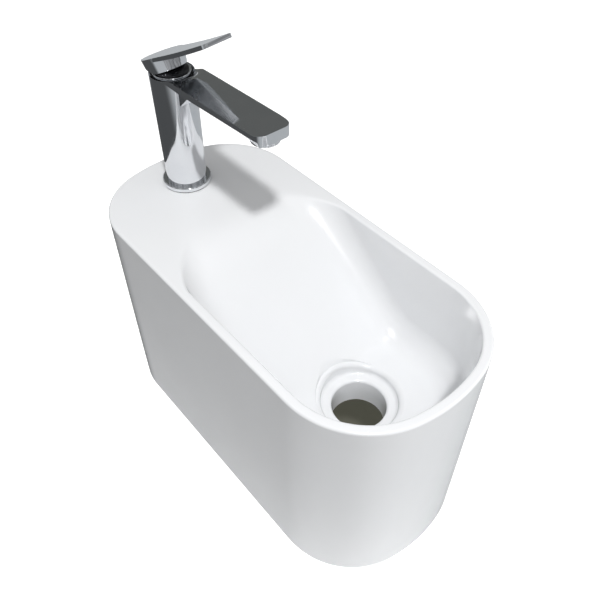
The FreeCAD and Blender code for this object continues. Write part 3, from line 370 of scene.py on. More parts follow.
@dataclass
class BasinPlan:
    """The basin's plan in millimetres: straight sides, round corners and bowed ends."""

    half_length: float = 182.5
    half_width: float = 87.5
    waste_corner: float = 72.0
    waste_bow: float = 141.0
    tap_corner: float = 67.0
    tap_bow: float = 150.0

    def end(self, side: int) -> tuple[float, float, float, float, float]:
        """One bowed end.

        Args:
            side: 1 for the waste end, -1 for the tap end.

        Returns:
            Bow centre x, corner centre x and y, corner radius and bow radius.
        """
        corner = self.waste_corner if side > 0 else self.tap_corner
        bow = self.waste_bow if side > 0 else self.tap_bow
        rise = self.half_width - corner
        middle = side * (self.half_length - bow)
        run = math.sqrt((bow - corner) ** 2 - rise ** 2)
        return middle, middle + side * run, rise, corner, bow

    def points(self, pitch: float) -> list[tuple[Vector, Vector]]:
        """Evenly spaced points round the outline with their outward normals.

        Args:
            pitch: distance between points.

        Returns:
            Point and normal pairs, counter-clockwise seen from above.
        """
        spots: list[tuple[Vector, Vector]] = []

        def arc(cx: float, cy: float, radius: float, start: float, stop: float) -> None:
            """Add the points of one arc, without its last one.

            Args:
                cx: its centre.
                cy: its centre.
                radius: its radius.
                start: angle at its start.
                stop: angle at its end.
            """
            count = max(2, round(abs(stop - start) * radius / pitch))
            for step in range(count):
                turn = start + (stop - start) * step / count
                normal = Vector((math.cos(turn), math.sin(turn)))
                spots.append((Vector((cx, cy)) + normal * radius, normal))

        def line(x0: float, x1: float, y: float) -> None:
            """Add the points of one straight side, without its last one.

            Args:
                x0: its start.
                x1: its end.
                y: its place across.
            """
            count = round(abs(x1 - x0) / pitch)
            for step in range(count):
                x = x0 + (x1 - x0) * step / count
                spots.append((Vector((x, y)), Vector((0.0, math.copysign(1.0, y)))))

        bow_x, corner_x, corner_y, corner, bow = self.end(1)
        lean = math.atan2(corner_y, corner_x - bow_x)
        arc(bow_x, 0.0, bow, -lean, lean)
        arc(corner_x, corner_y, corner, lean, math.pi / 2)
        far_bow_x, far_x, far_y, far_corner, far_bow = self.end(-1)
        far_lean = math.pi - math.atan2(far_y, far_bow_x - far_x)
        line(corner_x, far_x, self.half_width)
        arc(far_x, far_y, far_corner, math.pi / 2, far_lean)
        arc(far_bow_x, 0.0, far_bow, far_lean, 2 * math.pi - far_lean)
        arc(far_x, -far_y, far_corner, 2 * math.pi - far_lean, 1.5 * math.pi)
        line(far_x, corner_x, -self.half_width)
        arc(corner_x, -corner_y, corner, 1.5 * math.pi, 2 * math.pi - lean)
        return spots


@dataclass
class BowlForm:
    """The height of the basin's top in millimetres: deck, soft crest, ramp, blend and floor."""

    deck: float = 211.0
    ramp_start: float = -50.75
    ramp_angle: float = 36.0
    crest_angle: float = 6.0
    crest_radius: float = 85.0
    floor_blend: float = 40.0
    floor_depth: float = 88.4
    floor_fall: float = 1.2
    waste_x: float = 96.8
    softness: float = 13.0
    samples: int = 6

    def sharp(self, x: float) -> float:
        """The height along the middle line, with the crest's break still in it.

        Args:
            x: place along the basin.

        Returns:
            The height.
        """
        slope = math.radians(self.ramp_angle)
        fall = math.radians(self.floor_fall)
        level = math.radians(self.crest_angle)
        run = self.crest_radius * (math.cos(level) - math.cos(slope)) / math.sin(slope)
        crest_end = self.ramp_start + run * math.cos(slope)
        middle_x = crest_end - self.crest_radius * math.sin(slope)
        middle_z = self.deck - self.crest_radius * math.cos(level)
        if x <= middle_x + self.crest_radius * math.sin(level):
            return self.deck
        if x < crest_end:
            return middle_z + math.sqrt(self.crest_radius ** 2 - (x - middle_x) ** 2)
        ramp = self.deck - (x - self.ramp_start) * math.tan(slope)
        floor = self.deck - self.floor_depth + (x - self.waste_x) * math.tan(fall)
        knee = ((self.ramp_start * math.tan(slope) + self.floor_depth
                 + self.waste_x * math.tan(fall)) / (math.tan(slope) + math.tan(fall)))
        reach = self.floor_blend * math.tan((slope + fall) / 2)
        if x <= knee - reach * math.cos(slope):
            return ramp
        if x >= knee + reach * math.cos(fall):
            return floor
        start = knee - reach * math.cos(slope)
        centre_x = start + self.floor_blend * math.sin(slope)
        start_z = self.deck - (start - self.ramp_start) * math.tan(slope)
        centre_z = start_z + self.floor_blend * math.cos(slope)
        return centre_z - math.sqrt(self.floor_blend ** 2 - (x - centre_x) ** 2)

    def height(self, x: float) -> float:
        """The height along the middle line, with the crest softened.

        Args:
            x: place along the basin.

        Returns:
            The height.
        """
        if x > self.ramp_start + 2 * self.softness:
            return self.sharp(x)
        total = weight = 0.0
        reach = self.samples
        for step in range(-reach, reach + 1):
            share = 1.0 - abs(step) / (reach + 1)
            total += share * self.sharp(x + self.softness * step / reach)
            weight += share
        return total / weight


@dataclass
class Basin:
    """The glazed basin: its outside, rim, deck and bowl as one smooth skin of quads.

    The hollow underside stays as the solid has it and is joined to the skin. Lengths are
    millimetres in the frame. The rim's rows are counted over its flat part, its bend, the wall
    below, the curve at the wall's foot and what is left of the floor.
    """

    wardrobe: Wardrobe
    plan: BasinPlan = field(default_factory=BasinPlan)
    form: BowlForm = field(default_factory=BowlForm)
    pitch: float = 3.4
    rim_width: float = 8.0
    rim_round: float = 2.0
    rim_least: float = 0.5
    wall_corner: float = 22.0
    corner_ease: float = 11.0
    inner_reach: float = 34.0
    spread: float = 44.0
    recess_r: float = 32.5
    recess_edge: float = 4.0
    recess_floor: float = 114.7
    recess_corner: float = 3.0
    waste_r: float = 23.0
    waste_edge: float = 2.7
    boss_low: float = 88.5
    boss_band: float = 12.0
    boss_r: Pair = (40.0, 43.0)
    tap_x: float = -140.6
    tap_clear: float = 19.3
    tap_hole: float = 18.5
    thinnest: float = 6.0
    ease_depth: float = 25.0
    ease_turn: float = 28.0
    ease_width: float = 8.0
    samples: int = 136
    slope_probe: float = 1.5
    wall_heights: tuple[float, ...] = (0.0, 1.0, 60.0, 120.0, 180.0, 208.0)
    deck_stops: tuple[float, ...] = (12.0, 28.0, 28.1, 30.0)
    rim_rows: tuple[int, ...] = (5, 7, 2, 8, 3)
    quarter_rows: tuple[int, int] = (6, 5)
    floor_rows: int = 64
    skim: float = 0.1
    near: float = 1.0
    upright: float = 0.08
    steep: float = 0.5
    smooth_angle: float = 32.0
    digits: int = 5
    skin_weld: float = 0.00002
    weld: float = 0.000005

    def skin_top(self, x: float, inward: float) -> float:
        """The height of deck or bowl at a place.

        Args:
            x: place along the basin.
            inward: distance from the bowl's wall.

        Returns:
            The height.
        """
        low = self.form.height(x)
        depth = max(self.form.deck - low, 0.0)
        corner = self.wall_corner + self.corner_ease * math.exp(-depth / self.ease_depth)
        if inward < corner:
            low += corner - math.sqrt(corner ** 2 - (corner - inward) ** 2)
        return min(low, self.form.deck)

    def rim_profile(self, spot: Vector, normal: Vector) -> list[Pair]:
        """The section across the rim, down the wall and over its foot.

        Args:
            spot: point of the outline.
            normal: outward normal there.

        Returns:
            Pairs of inset from the outline and height, evenly numbered for every section.
        """
        deck = self.form.deck
        start = -(self.rim_width - self.rim_round)

        def top(inward: float) -> float:
            """The height at a distance from the wall.

            Args:
                inward: the distance.

            Returns:
                The height.
            """
            x = spot.x - (inward + self.rim_width) * normal.x
            return self.skin_top(x, inward)

        falling = [(self.inner_reach * k / self.samples, top(self.inner_reach * k / self.samples))
                   for k in range(self.samples + 1)]
        edge = next((k for k, (_, z) in enumerate(falling) if z < deck - TINY), None)
        if edge is None:
            stops = [start, *self.deck_stops, self.inner_reach]
            flat = [low + (high - low) * k / count
                    for low, high, count in zip(stops, stops[1:], self.rim_rows)
                    for k in range(count)]
            return [(inward + self.rim_width, deck) for inward in (*flat, self.inner_reach)]
        corner = falling[max(edge - 1, 0)][0]
        path = [(corner, deck)] + falling[edge:]
        lengths = [0.0]
        for (a, b), (c, d) in zip(path, path[1:]):
            lengths.append(lengths[-1] + math.hypot(c - a, d - b))

        def along(length: float) -> Pair:
            """The point at a length along the falling part.

            Args:
                length: the length.

            Returns:
                Distance from the wall and height.
            """
            for k in range(1, len(path)):
                if lengths[k] >= length or k == len(path) - 1:
                    gap = lengths[k] - lengths[k - 1]
                    share = 0.0 if gap == 0 else (length - lengths[k - 1]) / gap
                    share = min(max(share, 0.0), 1.0)
                    (a, b), (c, d) = path[k - 1], path[k]
                    return a + (c - a) * share, b + (d - b) * share
            return path[-1]

        ahead = along(self.slope_probe)
        turn = math.atan2(deck - ahead[1], ahead[0] - corner)
        ease = math.exp(-(turn / math.radians(self.ease_turn)) ** 2)
        tangent = self.rim_round + self.ease_width * ease
        tangent = min(tangent, corner - start - self.rim_least)
        entry = (corner - tangent, deck)
        leave = along(tangent)
        wall_end = deck - falling[0][1] if edge == 0 else 0.0
        foot = next(length for length, (inward, _) in zip(lengths, path)
                    if inward >= self.wall_corner or length == lengths[-1])
        wall_end = max(wall_end, tangent)
        foot = max(foot, wall_end)
        flat, bend, drop, curve, tail = self.rim_rows
        line = [(start + (entry[0] - start) * k / flat, deck) for k in range(flat)]
        for t in (k / bend for k in range(bend)):
            line.append((entry[0] * (1 - t) ** 2 + corner * 2 * t * (1 - t) + leave[0] * t ** 2,
                         entry[1] * (1 - t) ** 2 + deck * 2 * t * (1 - t) + leave[1] * t ** 2))
        line += [along(tangent + (wall_end - tangent) * k / drop) for k in range(drop)]
        line += [along(wall_end + (foot - wall_end) * k / curve) for k in range(curve)]
        line += [along(foot + (lengths[-1] - foot) * k / tail) for k in range(tail)]
        line.append(path[-1])
        return [(inward + self.rim_width, z) for inward, z in line]

    def recess_profile(self, floor: float) -> list[Pair]:
        """The section from the bowl's floor into the recess and down the waste hole.

        Args:
            floor: height of the floor at the recess's edge.

        Returns:
            Pairs of radius and height.
        """
        many, few = self.quarter_rows
        line = [(self.recess_r + self.recess_edge * (1 - sine),
                 floor - self.recess_edge * (1 - cosine)) for sine, cosine in quarter(many)]
        line += [(self.recess_r - self.recess_corner * (1 - cosine),
                  self.recess_floor + self.recess_corner * (1 - sine))
                 for sine, cosine in quarter(few)]
        line += [(self.waste_r + self.waste_edge * (1 - sine),
                  self.recess_floor - self.waste_edge * (1 - cosine))
                 for sine, cosine in quarter(few)]
        return line + [(self.waste_r, self.boss_low + self.boss_band),
                       (self.waste_r, self.boss_low)]

    def column(self, spot: Vector, normal: Vector) -> list[Vector]:
        """One line of the skin, from the foot of the wall over the rim to the waste hole.

        Args:
            spot: point of the outline.
            normal: outward normal there.

        Returns:
            The points in metres.
        """
        deck = self.form.deck
        points = [Vector((spot.x, spot.y, z)) for z in self.wall_heights]
        rim = [(self.rim_round * (1 - cosine), deck - self.rim_round * (1 - sine))
               for sine, cosine in quarter(self.quarter_rows[0])[:-1]]
        for inset, z in rim + self.rim_profile(spot, normal):
            flat = spot - normal * inset
            points.append(Vector((flat.x, flat.y, z)))
        ring = spot - normal * self.spread
        drain = Vector((self.form.waste_x, 0.0))
        heading = (ring - drain).normalized()
        stop = drain + heading * (self.recess_r + self.recess_edge)
        for k in range(self.floor_rows):
            flat = ring.lerp(stop, k / self.floor_rows)
            points.append(Vector((flat.x, flat.y, min(self.form.height(flat.x), deck))))
        floor = self.form.height((drain + heading * self.recess_r).x)
        for radius, z in self.recess_profile(floor):
            flat = drain + heading * radius
            points.append(Vector((flat.x, flat.y, z)))
        return [point * MM for point in points]

    def skin(self) -> Piece:
        """Wrap a flat grid round the basin.

        Returns:
            The skin.
        """
        columns = [self.column(spot, normal) for spot, normal in self.plan.points(self.pitch)]
        columns.append(columns[0])
        across, down = len(columns), len(columns[0])
        bpy.ops.mesh.primitive_grid_add(x_subdivisions=across - 1, y_subdivisions=down - 1,
                                        size=1.0)
        skin = bpy.context.object
        skin.name = "glazed_skin"
        order = sorted(range(len(skin.data.vertices)),
                       key=lambda k: (round(skin.data.vertices[k].co.y, self.digits),
                                      round(skin.data.vertices[k].co.x, self.digits)))
        for place, index in enumerate(order):
            skin.data.vertices[index].co = columns[place % across][place // across]
        with editing():
            bpy.ops.mesh.remove_doubles(threshold=self.skin_weld)
        work = bmesh.new()
        work.from_mesh(skin.data)
        hole = [face for face in work.faces
                if math.hypot(face.calc_center_median().x - self.tap_x * MM,
                              face.calc_center_median().y) < self.tap_clear * MM
                and face.calc_center_median().z > (self.form.deck - self.near) * MM]
        bmesh.ops.delete(work, geom=hole, context="FACES")
        work.faces.ensure_lookup_table()
        side = min(work.faces, key=lambda face: face.calc_center_median().y)
        if side.normal.y > 0:
            bmesh.ops.reverse_faces(work, faces=work.faces[:])
        work.to_mesh(skin.data)
        work.free()
        return skin

    def underside(self) -> Piece:
        """The hollow underside, tap hole and foot, copied from the solid.

        Returns:
            The copy without the faces that the skin has.
        """
        mesh = frame["nodes"]["basin_body"].data.copy()
        copy = bpy.data.objects.new("hollow_underside", mesh)
        bpy.context.scene.collection.objects.link(copy)
        work = bmesh.new()
        work.from_mesh(copy.data)
        bmesh.ops.remove_doubles(work, verts=work.verts[:], dist=self.weld)
        drop = []
        for face in work.faces:
            where = face.calc_center_median() / MM
            outward = face.normal
            level = min(self.form.height(where.x), self.form.deck)
            upright = abs(outward.z) < self.upright
            below = where.z < level - self.thinnest
            from_waste = math.hypot(where.x - self.form.waste_x, where.y)
            tap_wall = (math.hypot(where.x - self.tap_x, where.y) < self.tap_hole
                        and where.z < self.form.deck - self.skim and upright)
            boss = self.boss_r[0] < from_waste < self.boss_r[1] and below and upright
            hollow = (below and from_waste >= self.recess_r + self.near
                      and abs(outward.z) < self.steep and not self.on_outside(where))
            if not (outward.z < -self.upright or tap_wall or boss or hollow):
                drop.append(face)
        bmesh.ops.delete(work, geom=drop, context="FACES")
        work.to_mesh(copy.data)
        work.free()
        return copy

    def on_outside(self, where: Vector) -> bool:
        """Whether a point lies on the basin's outer wall.

        Args:
            where: the point in millimetres.

        Returns:
            True on the outer wall.
        """
        edge = abs(where.y) > self.plan.half_width - self.near
        for side in (1, -1):
            bow_x, corner_x, corner_y, corner, bow = self.plan.end(side)
            from_bow = math.hypot(where.x - bow_x, where.y)
            from_corner = math.hypot(where.x - corner_x, abs(where.y) - corner_y)
            past = side * (where.x - corner_x) > 0
            in_corner = abs(where.y) > corner_y and from_corner > corner - self.near
            if past and (from_bow > bow - self.near or in_corner):
                edge = True
        return edge

    def build(self) -> None:
        """Build the basin and dress it."""
        skin = self.skin()
        underside = self.underside()
        bpy.ops.object.select_all(action="DESELECT")
        for piece in (underside, skin):
            piece.select_set(True)
            bpy.context.view_layer.objects.active = piece
            bpy.ops.object.shade_smooth_by_angle(angle=math.radians(self.smooth_angle))
        bpy.ops.object.join()
        skin.name = "basin_skin"
        self.wardrobe.dress(skin, "glazed_ceramic")
        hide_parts("basin_body")
        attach(skin, "fixed")
        LOG.info("basin: %d faces", len(skin.data.polygons))


@dataclass
class Mixer:
    """The mixer's cast pieces, polished: smooth round faces, flat facets and softened edges.

    Lengths are millimetres from the column's foot. A station of the spout is its distance from
    the axis, then half its width, the heights of its lower, side and upper edges, half the
    width of its top, and the height and half the width of its belly. A drum is its radius with
    the heights of its two ends.
    """

    wardrobe: Wardrobe
    axis: Pair = (-140.6, 211.0)
    stations: tuple[tuple[float, ...], ...] = (
        (0.0, 16.2, 105.6, 109.6, 113.5, 0.5, 98.0, 8.0),
        (39.0, 16.2, 105.6, 111.3, 114.0, 0.9, 98.6, 8.0),
        (120.0, 16.2, 110.2, 114.1, 114.8, 11.8, 104.1, 9.0),
        (135.3, 15.5, 110.6, 114.2, 114.7, 12.6, 105.8, 14.2),
    )
    tip: float = 135.3
    tip_half: float = 15.5
    tip_corner: float = 7.5
    column_low: Pair = (2.6, 18.0)
    column_top: Pair = (105.5, 18.7)
    dish: tuple[Pair, ...] = (
        (15.75, 101.3), (18.7, 105.5), (27.0, 110.4), (39.0, 114.3))
    jet_x: float = 122.5
    jet_boss: Point = (11.6, 103.4, 110.0)
    jet_well: Point = (9.75, 99.4, 108.4)
    neck_well: Point = (14.0, 86.0, 104.0)
    dish_top: float = 122.3
    gusset: tuple[Pair, ...] = (
        (0.0, 84.0), (18.0, 84.0), (33.0, 98.0), (33.0, 105.6), (0.0, 105.6))
    gusset_half: float = 6.5
    trim_box: Point = (-2.0, 100.0, 24.0)
    trim_flare: tuple[Pair, ...] = ((0.0, 0.35), (0.5, 0.1))
    trim_low: float = 90.0
    trim_height: float = 40.0
    body_edge: Pair = (0.55, 8.0)
    lever_edge: Pair = (0.5, 22.0)
    column_steps: int = 144
    jet_steps: int = 96
    corner_steps: int = 12
    dish_steps: int = 8
    cuts: Pair = (0.2, -0.2)
    level: float = 0.99
    weld: float = 0.00008
    flat: float = 0.4
    below: float = -0.45

    def place(self, piece: Piece) -> None:
        """Move a piece from the column's foot, in millimetres, into the frame.

        Args:
            piece: the piece.
        """
        piece.data.transform(Matrix.Translation((self.axis[0] * MM, 0.0, self.axis[1] * MM))
                             @ Matrix.Diagonal((MM, MM, MM, 1.0)))

    def prism(self, name: str, outline: list[Point], shift: Point) -> Piece:
        """A flat outline pushed out along a direction.

        Args:
            name: the piece's name.
            outline: its points in order.
            shift: how far it is pushed.

        Returns:
            The closed piece.
        """
        bpy.ops.mesh.primitive_circle_add(vertices=len(outline), radius=1.0, fill_type="NGON")
        piece = bpy.context.object
        piece.name = name
        for vertex, point in zip(piece.data.vertices, outline):
            vertex.co = point
        with editing():
            bpy.ops.mesh.extrude_region_move(TRANSFORM_OT_translate={"value": shift})
            bpy.ops.mesh.select_all(action="SELECT")
            bpy.ops.mesh.normals_make_consistent(inside=False)
        return piece

    def turned(self, name: str, profile: list[Pair], centre: float = 0.0) -> Piece:
        """A closed profile of radius and height turned about an upright axis.

        Args:
            name: the piece's name.
            profile: radius and height pairs, from the bottom of the axis to its top.
            centre: the axis's place along the spout.

        Returns:
            The closed piece.
        """
        count = self.jet_steps if centre else self.column_steps
        bpy.ops.mesh.primitive_cylinder_add(vertices=count, radius=1.0, depth=1.0,
                                            end_fill_type="NGON")
        piece = bpy.context.object
        piece.name = name
        for vertex in piece.data.vertices:
            radius, height = profile[0 if vertex.co.z < 0 else 1]
            turn = math.atan2(vertex.co.y, vertex.co.x)
            vertex.co = (centre + radius * math.cos(turn), radius * math.sin(turn), height)
        for (_, last), (radius, height) in zip(profile[1:], profile[2:]):
            with editing():
                bpy.ops.mesh.select_all(action="DESELECT")
            top = max(face.center.z for face in piece.data.polygons)
            for face in piece.data.polygons:
                face.select = face.normal.z > self.level and face.center.z > top - TINY
            bpy.ops.object.mode_set(mode="EDIT")
            bpy.ops.mesh.extrude_region_move(
                TRANSFORM_OT_translate={"value": (0.0, 0.0, height - last)})
            bpy.ops.object.mode_set(mode="OBJECT")
            for vertex in piece.data.vertices:
                if vertex.select:
                    turn = math.atan2(vertex.co.y, vertex.co.x - centre)
                    vertex.co.x = centre + radius * math.cos(turn)
                    vertex.co.y = radius * math.sin(turn)
        return piece

    def drum(self, name: str, size: Point, centre: float = 0.0) -> Piece:
        """A plain upright cylinder.

        Args:
            name: the piece's name.
            size: its radius and the heights of its ends.
            centre: the axis's place along the spout.

        Returns:
            The closed piece.
        """
        radius, low, top = size
        return self.turned(name, [(radius, low), (radius, top)], centre)

    def spout(self) -> Piece:
        """The spout's faceted bar, from the axis to the tip.

        Returns:
            The closed bar, its tip's corners rounded in plan.
        """
        bpy.ops.mesh.primitive_cylinder_add(vertices=8, radius=1.0, depth=1.0,
                                            end_fill_type="NGON")
        bar = bpy.context.object
        bar.name = "polished_tap_body"
        for between in self.cuts:
            with editing():
                bpy.ops.mesh.bisect(plane_co=(0.0, 0.0, between), plane_no=(0.0, 0.0, 1.0))
        levels = sorted({round(vertex.co.z, 3) for vertex in bar.data.vertices})
        for vertex in bar.data.vertices:
            row = levels.index(round(vertex.co.z, 3))
            x, half, low, side, top, crease, belly, belly_half = self.stations[row]
            ring = [(belly_half, belly), (half, low), (half, side), (crease, top),
                    (-crease, top), (-half, side), (-half, low), (-belly_half, belly)]
            turn = math.atan2(vertex.co.y, vertex.co.x) % (2 * math.pi)
            y, z = ring[round(turn / (math.pi / 4)) % 8]
            vertex.co = (x, y, z)
        with editing():
            bpy.ops.mesh.normals_make_consistent(inside=False)
        start, narrow, wide = self.trim_box
        x0, half, corner = self.tip - self.tip_corner, self.tip_half, self.tip_corner
        side = [(start, -wide), (narrow, -wide)]
        side += [(x0 + ahead, -half - out) for ahead, out in self.trim_flare]
        side += [(x0 + corner * sine, -half + corner - corner * cosine)
                 for sine, cosine in quarter(self.corner_steps)[1:]]
        outline = [(x, y, self.trim_low)
                   for x, y in side + [(x, -y) for x, y in reversed(side)]]
        self.combine(bar, self.prism("tip_outline", outline, (0.0, 0.0, self.trim_height)),
                     Combine.TRIM)
        return bar

    def combine(self, body: Piece, tool: Piece, how: Combine) -> None:
        """Join, cut or trim a piece with a tool, and remove the tool.

        Args:
            body: the piece.
            tool: the tool.
            how: what to do.
        """
        change = body.modifiers.new("combine", "BOOLEAN")
        change.operation = how.value
        change.solver = "EXACT"
        change.object = tool
        bpy.context.view_layer.objects.active = body
        bpy.ops.object.modifier_apply(modifier=change.name)
        bpy.data.objects.remove(tool)

    def soften(self, piece: Piece, edge: Pair) -> None:
        """Round a piece's edges and shade it smooth between them.

        Args:
            piece: the piece, in metres.
            edge: width of the rounding in millimetres and the least angle of an edge that is
                rounded, in degrees.
        """
        width, limit = edge
        bpy.ops.object.select_all(action="DESELECT")
        piece.select_set(True)
        bpy.context.view_layer.objects.active = piece
        with editing():
            bpy.ops.mesh.remove_doubles(threshold=self.weld)
            bpy.ops.mesh.dissolve_limited(angle_limit=math.radians(self.flat))
        bpy.ops.object.shade_smooth_by_angle(angle=math.radians(limit))
        bevel = piece.modifiers.new("edge", "BEVEL")
        bevel.width = width * MM
        bevel.segments = 3
        bevel.limit_method = "ANGLE"
        bevel.angle_limit = math.radians(limit)
        bevel.harden_normals = True
        bpy.ops.object.modifier_apply(modifier=bevel.name)

    def body(self) -> Piece:
        """The cast body: column, spout, gusset and aerator boss with the dish round the neck.

        Returns:
            The piece.
        """
        body = self.spout()
        half = self.gusset_half
        bowl = [self.dish[0]]
        bowl += [self.on_dish(k / self.dish_steps) for k in range(self.dish_steps + 1)]
        bowl.append((bowl[-1][0], self.dish_top))
        column = [(r, z) for z, r in (self.column_low, self.column_top)]
        self.combine(body, self.turned("column", column), Combine.JOIN)
        self.combine(body, self.prism("gusset", [(x, -half, z) for x, z in self.gusset],
                                      (0.0, 2 * half, 0.0)), Combine.JOIN)
        self.combine(body, self.drum("jet_boss", self.jet_boss, self.jet_x), Combine.JOIN)
        self.combine(body, self.turned("dish", bowl), Combine.CUT)
        self.combine(body, self.drum("well", self.neck_well), Combine.CUT)
        self.combine(body, self.drum("jet_well", self.jet_well, self.jet_x), Combine.CUT)
        self.place(body)
        self.soften(body, self.body_edge)
        return body

    def on_dish(self, share: float) -> Pair:
        """A point of the dish's arc.

        Args:
            share: how far along it, from the rim to its outer edge.

        Returns:
            Radius and height.
        """
        (r0, z0), (r1, z1), (r2, z2) = self.dish[1:]
        area = 2 * ((r1 - r0) * (z2 - z0) - (z1 - z0) * (r2 - r0))
        a, b = (r1 - r0) ** 2 + (z1 - z0) ** 2, (r2 - r0) ** 2 + (z2 - z0) ** 2
        middle_r = r0 + ((z2 - z0) * a - (z1 - z0) * b) / area
        middle_z = z0 + ((r1 - r0) * b - (r2 - r0) * a) / area
        radius = math.hypot(r0 - middle_r, z0 - middle_z)
        first = math.atan2(z0 - middle_z, r0 - middle_r)
        last = math.atan2(z2 - middle_z, r2 - middle_r)
        turn = first + (last - first) * share
        return middle_r + radius * math.cos(turn), middle_z + radius * math.sin(turn)

    def lever(self) -> Piece:
        """The lever with its solid's shape and softened edges.

        Returns:
            The piece.
        """
        piece = bpy.data.objects.new("polished_lever", frame["nodes"]["lever"].data.copy())
        bpy.context.scene.collection.objects.link(piece)
        self.soften(piece, self.lever_edge)
        return piece

    def roughen_below(self, piece: Piece) -> None:
        """Give the lever's downward faces a darker, rougher chrome than its other faces.

        Args:
            piece: the dressed lever.
        """
        piece.data.materials.append(DULL_CHROME.material())
        for face in piece.data.polygons:
            if face.normal.z < self.below:
                face.material_index = 1

    def build(self) -> None:
        """Build and dress the pieces."""
        for piece, node, body in ((self.body(), "tap_body", "fixed"),
                                  (self.lever(), "lever", "lever")):
            self.wardrobe.dress(piece, "chrome")
            if body == "lever":
                self.roughen_below(piece)
            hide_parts(node)
            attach(piece, body)
            LOG.info("%s: %d faces", piece.name, len(piece.data.polygons))


@dataclass(frozen=True)
class Fade:
    """A value that changes with the distance in metres from a point of the floor."""

    near: float
    far: float
    start: float
    stop: float
    centre: Point = (0.0, 0.0, 0.0)

    def wire(self, bench: Bench) -> Socket:
        """Build the value.

        Args:
            bench: the tree to wire it in.

        Returns:
            The value.
        """
        length = bench.add("ShaderNodeVectorMath", {0: bench.coordinates(), 1: self.centre},
                           operation="DISTANCE")
        ramp = bench.add("ShaderNodeMapRange", {
            "Value": length.outputs["Value"], "From Min": self.start, "From Max": self.stop,
            "To Min": self.near, "To Max": self.far}, interpolation_type="SMOOTHSTEP")
        return ramp.outputs["Result"]


@dataclass(frozen=True)
class Lamp:
    """A soft square lamp that faces the basin, in metres and watts.

    Its direction points from the basin to the lamp.
    """

    name: str
    direction: Point
    power: float
    distance: float
    size: float
    mirrored: bool = False
    aim_height: float = 0.2

    def build(self) -> None:
        """Place the lamp."""
        light = bpy.data.lights.new(self.name, "AREA")
        light.energy = self.power
        light.size = self.size
        lamp = bpy.data.objects.new(self.name, light)
        bpy.context.scene.collection.objects.link(lamp)
        towards = Vector(self.direction).normalized()
        lamp.location = towards * self.distance + Vector((0.0, 0.0, self.aim_height))
        lamp.rotation_euler = towards.to_track_quat("Z", "Y").to_euler()
        lamp.visible_glossy = self.mirrored


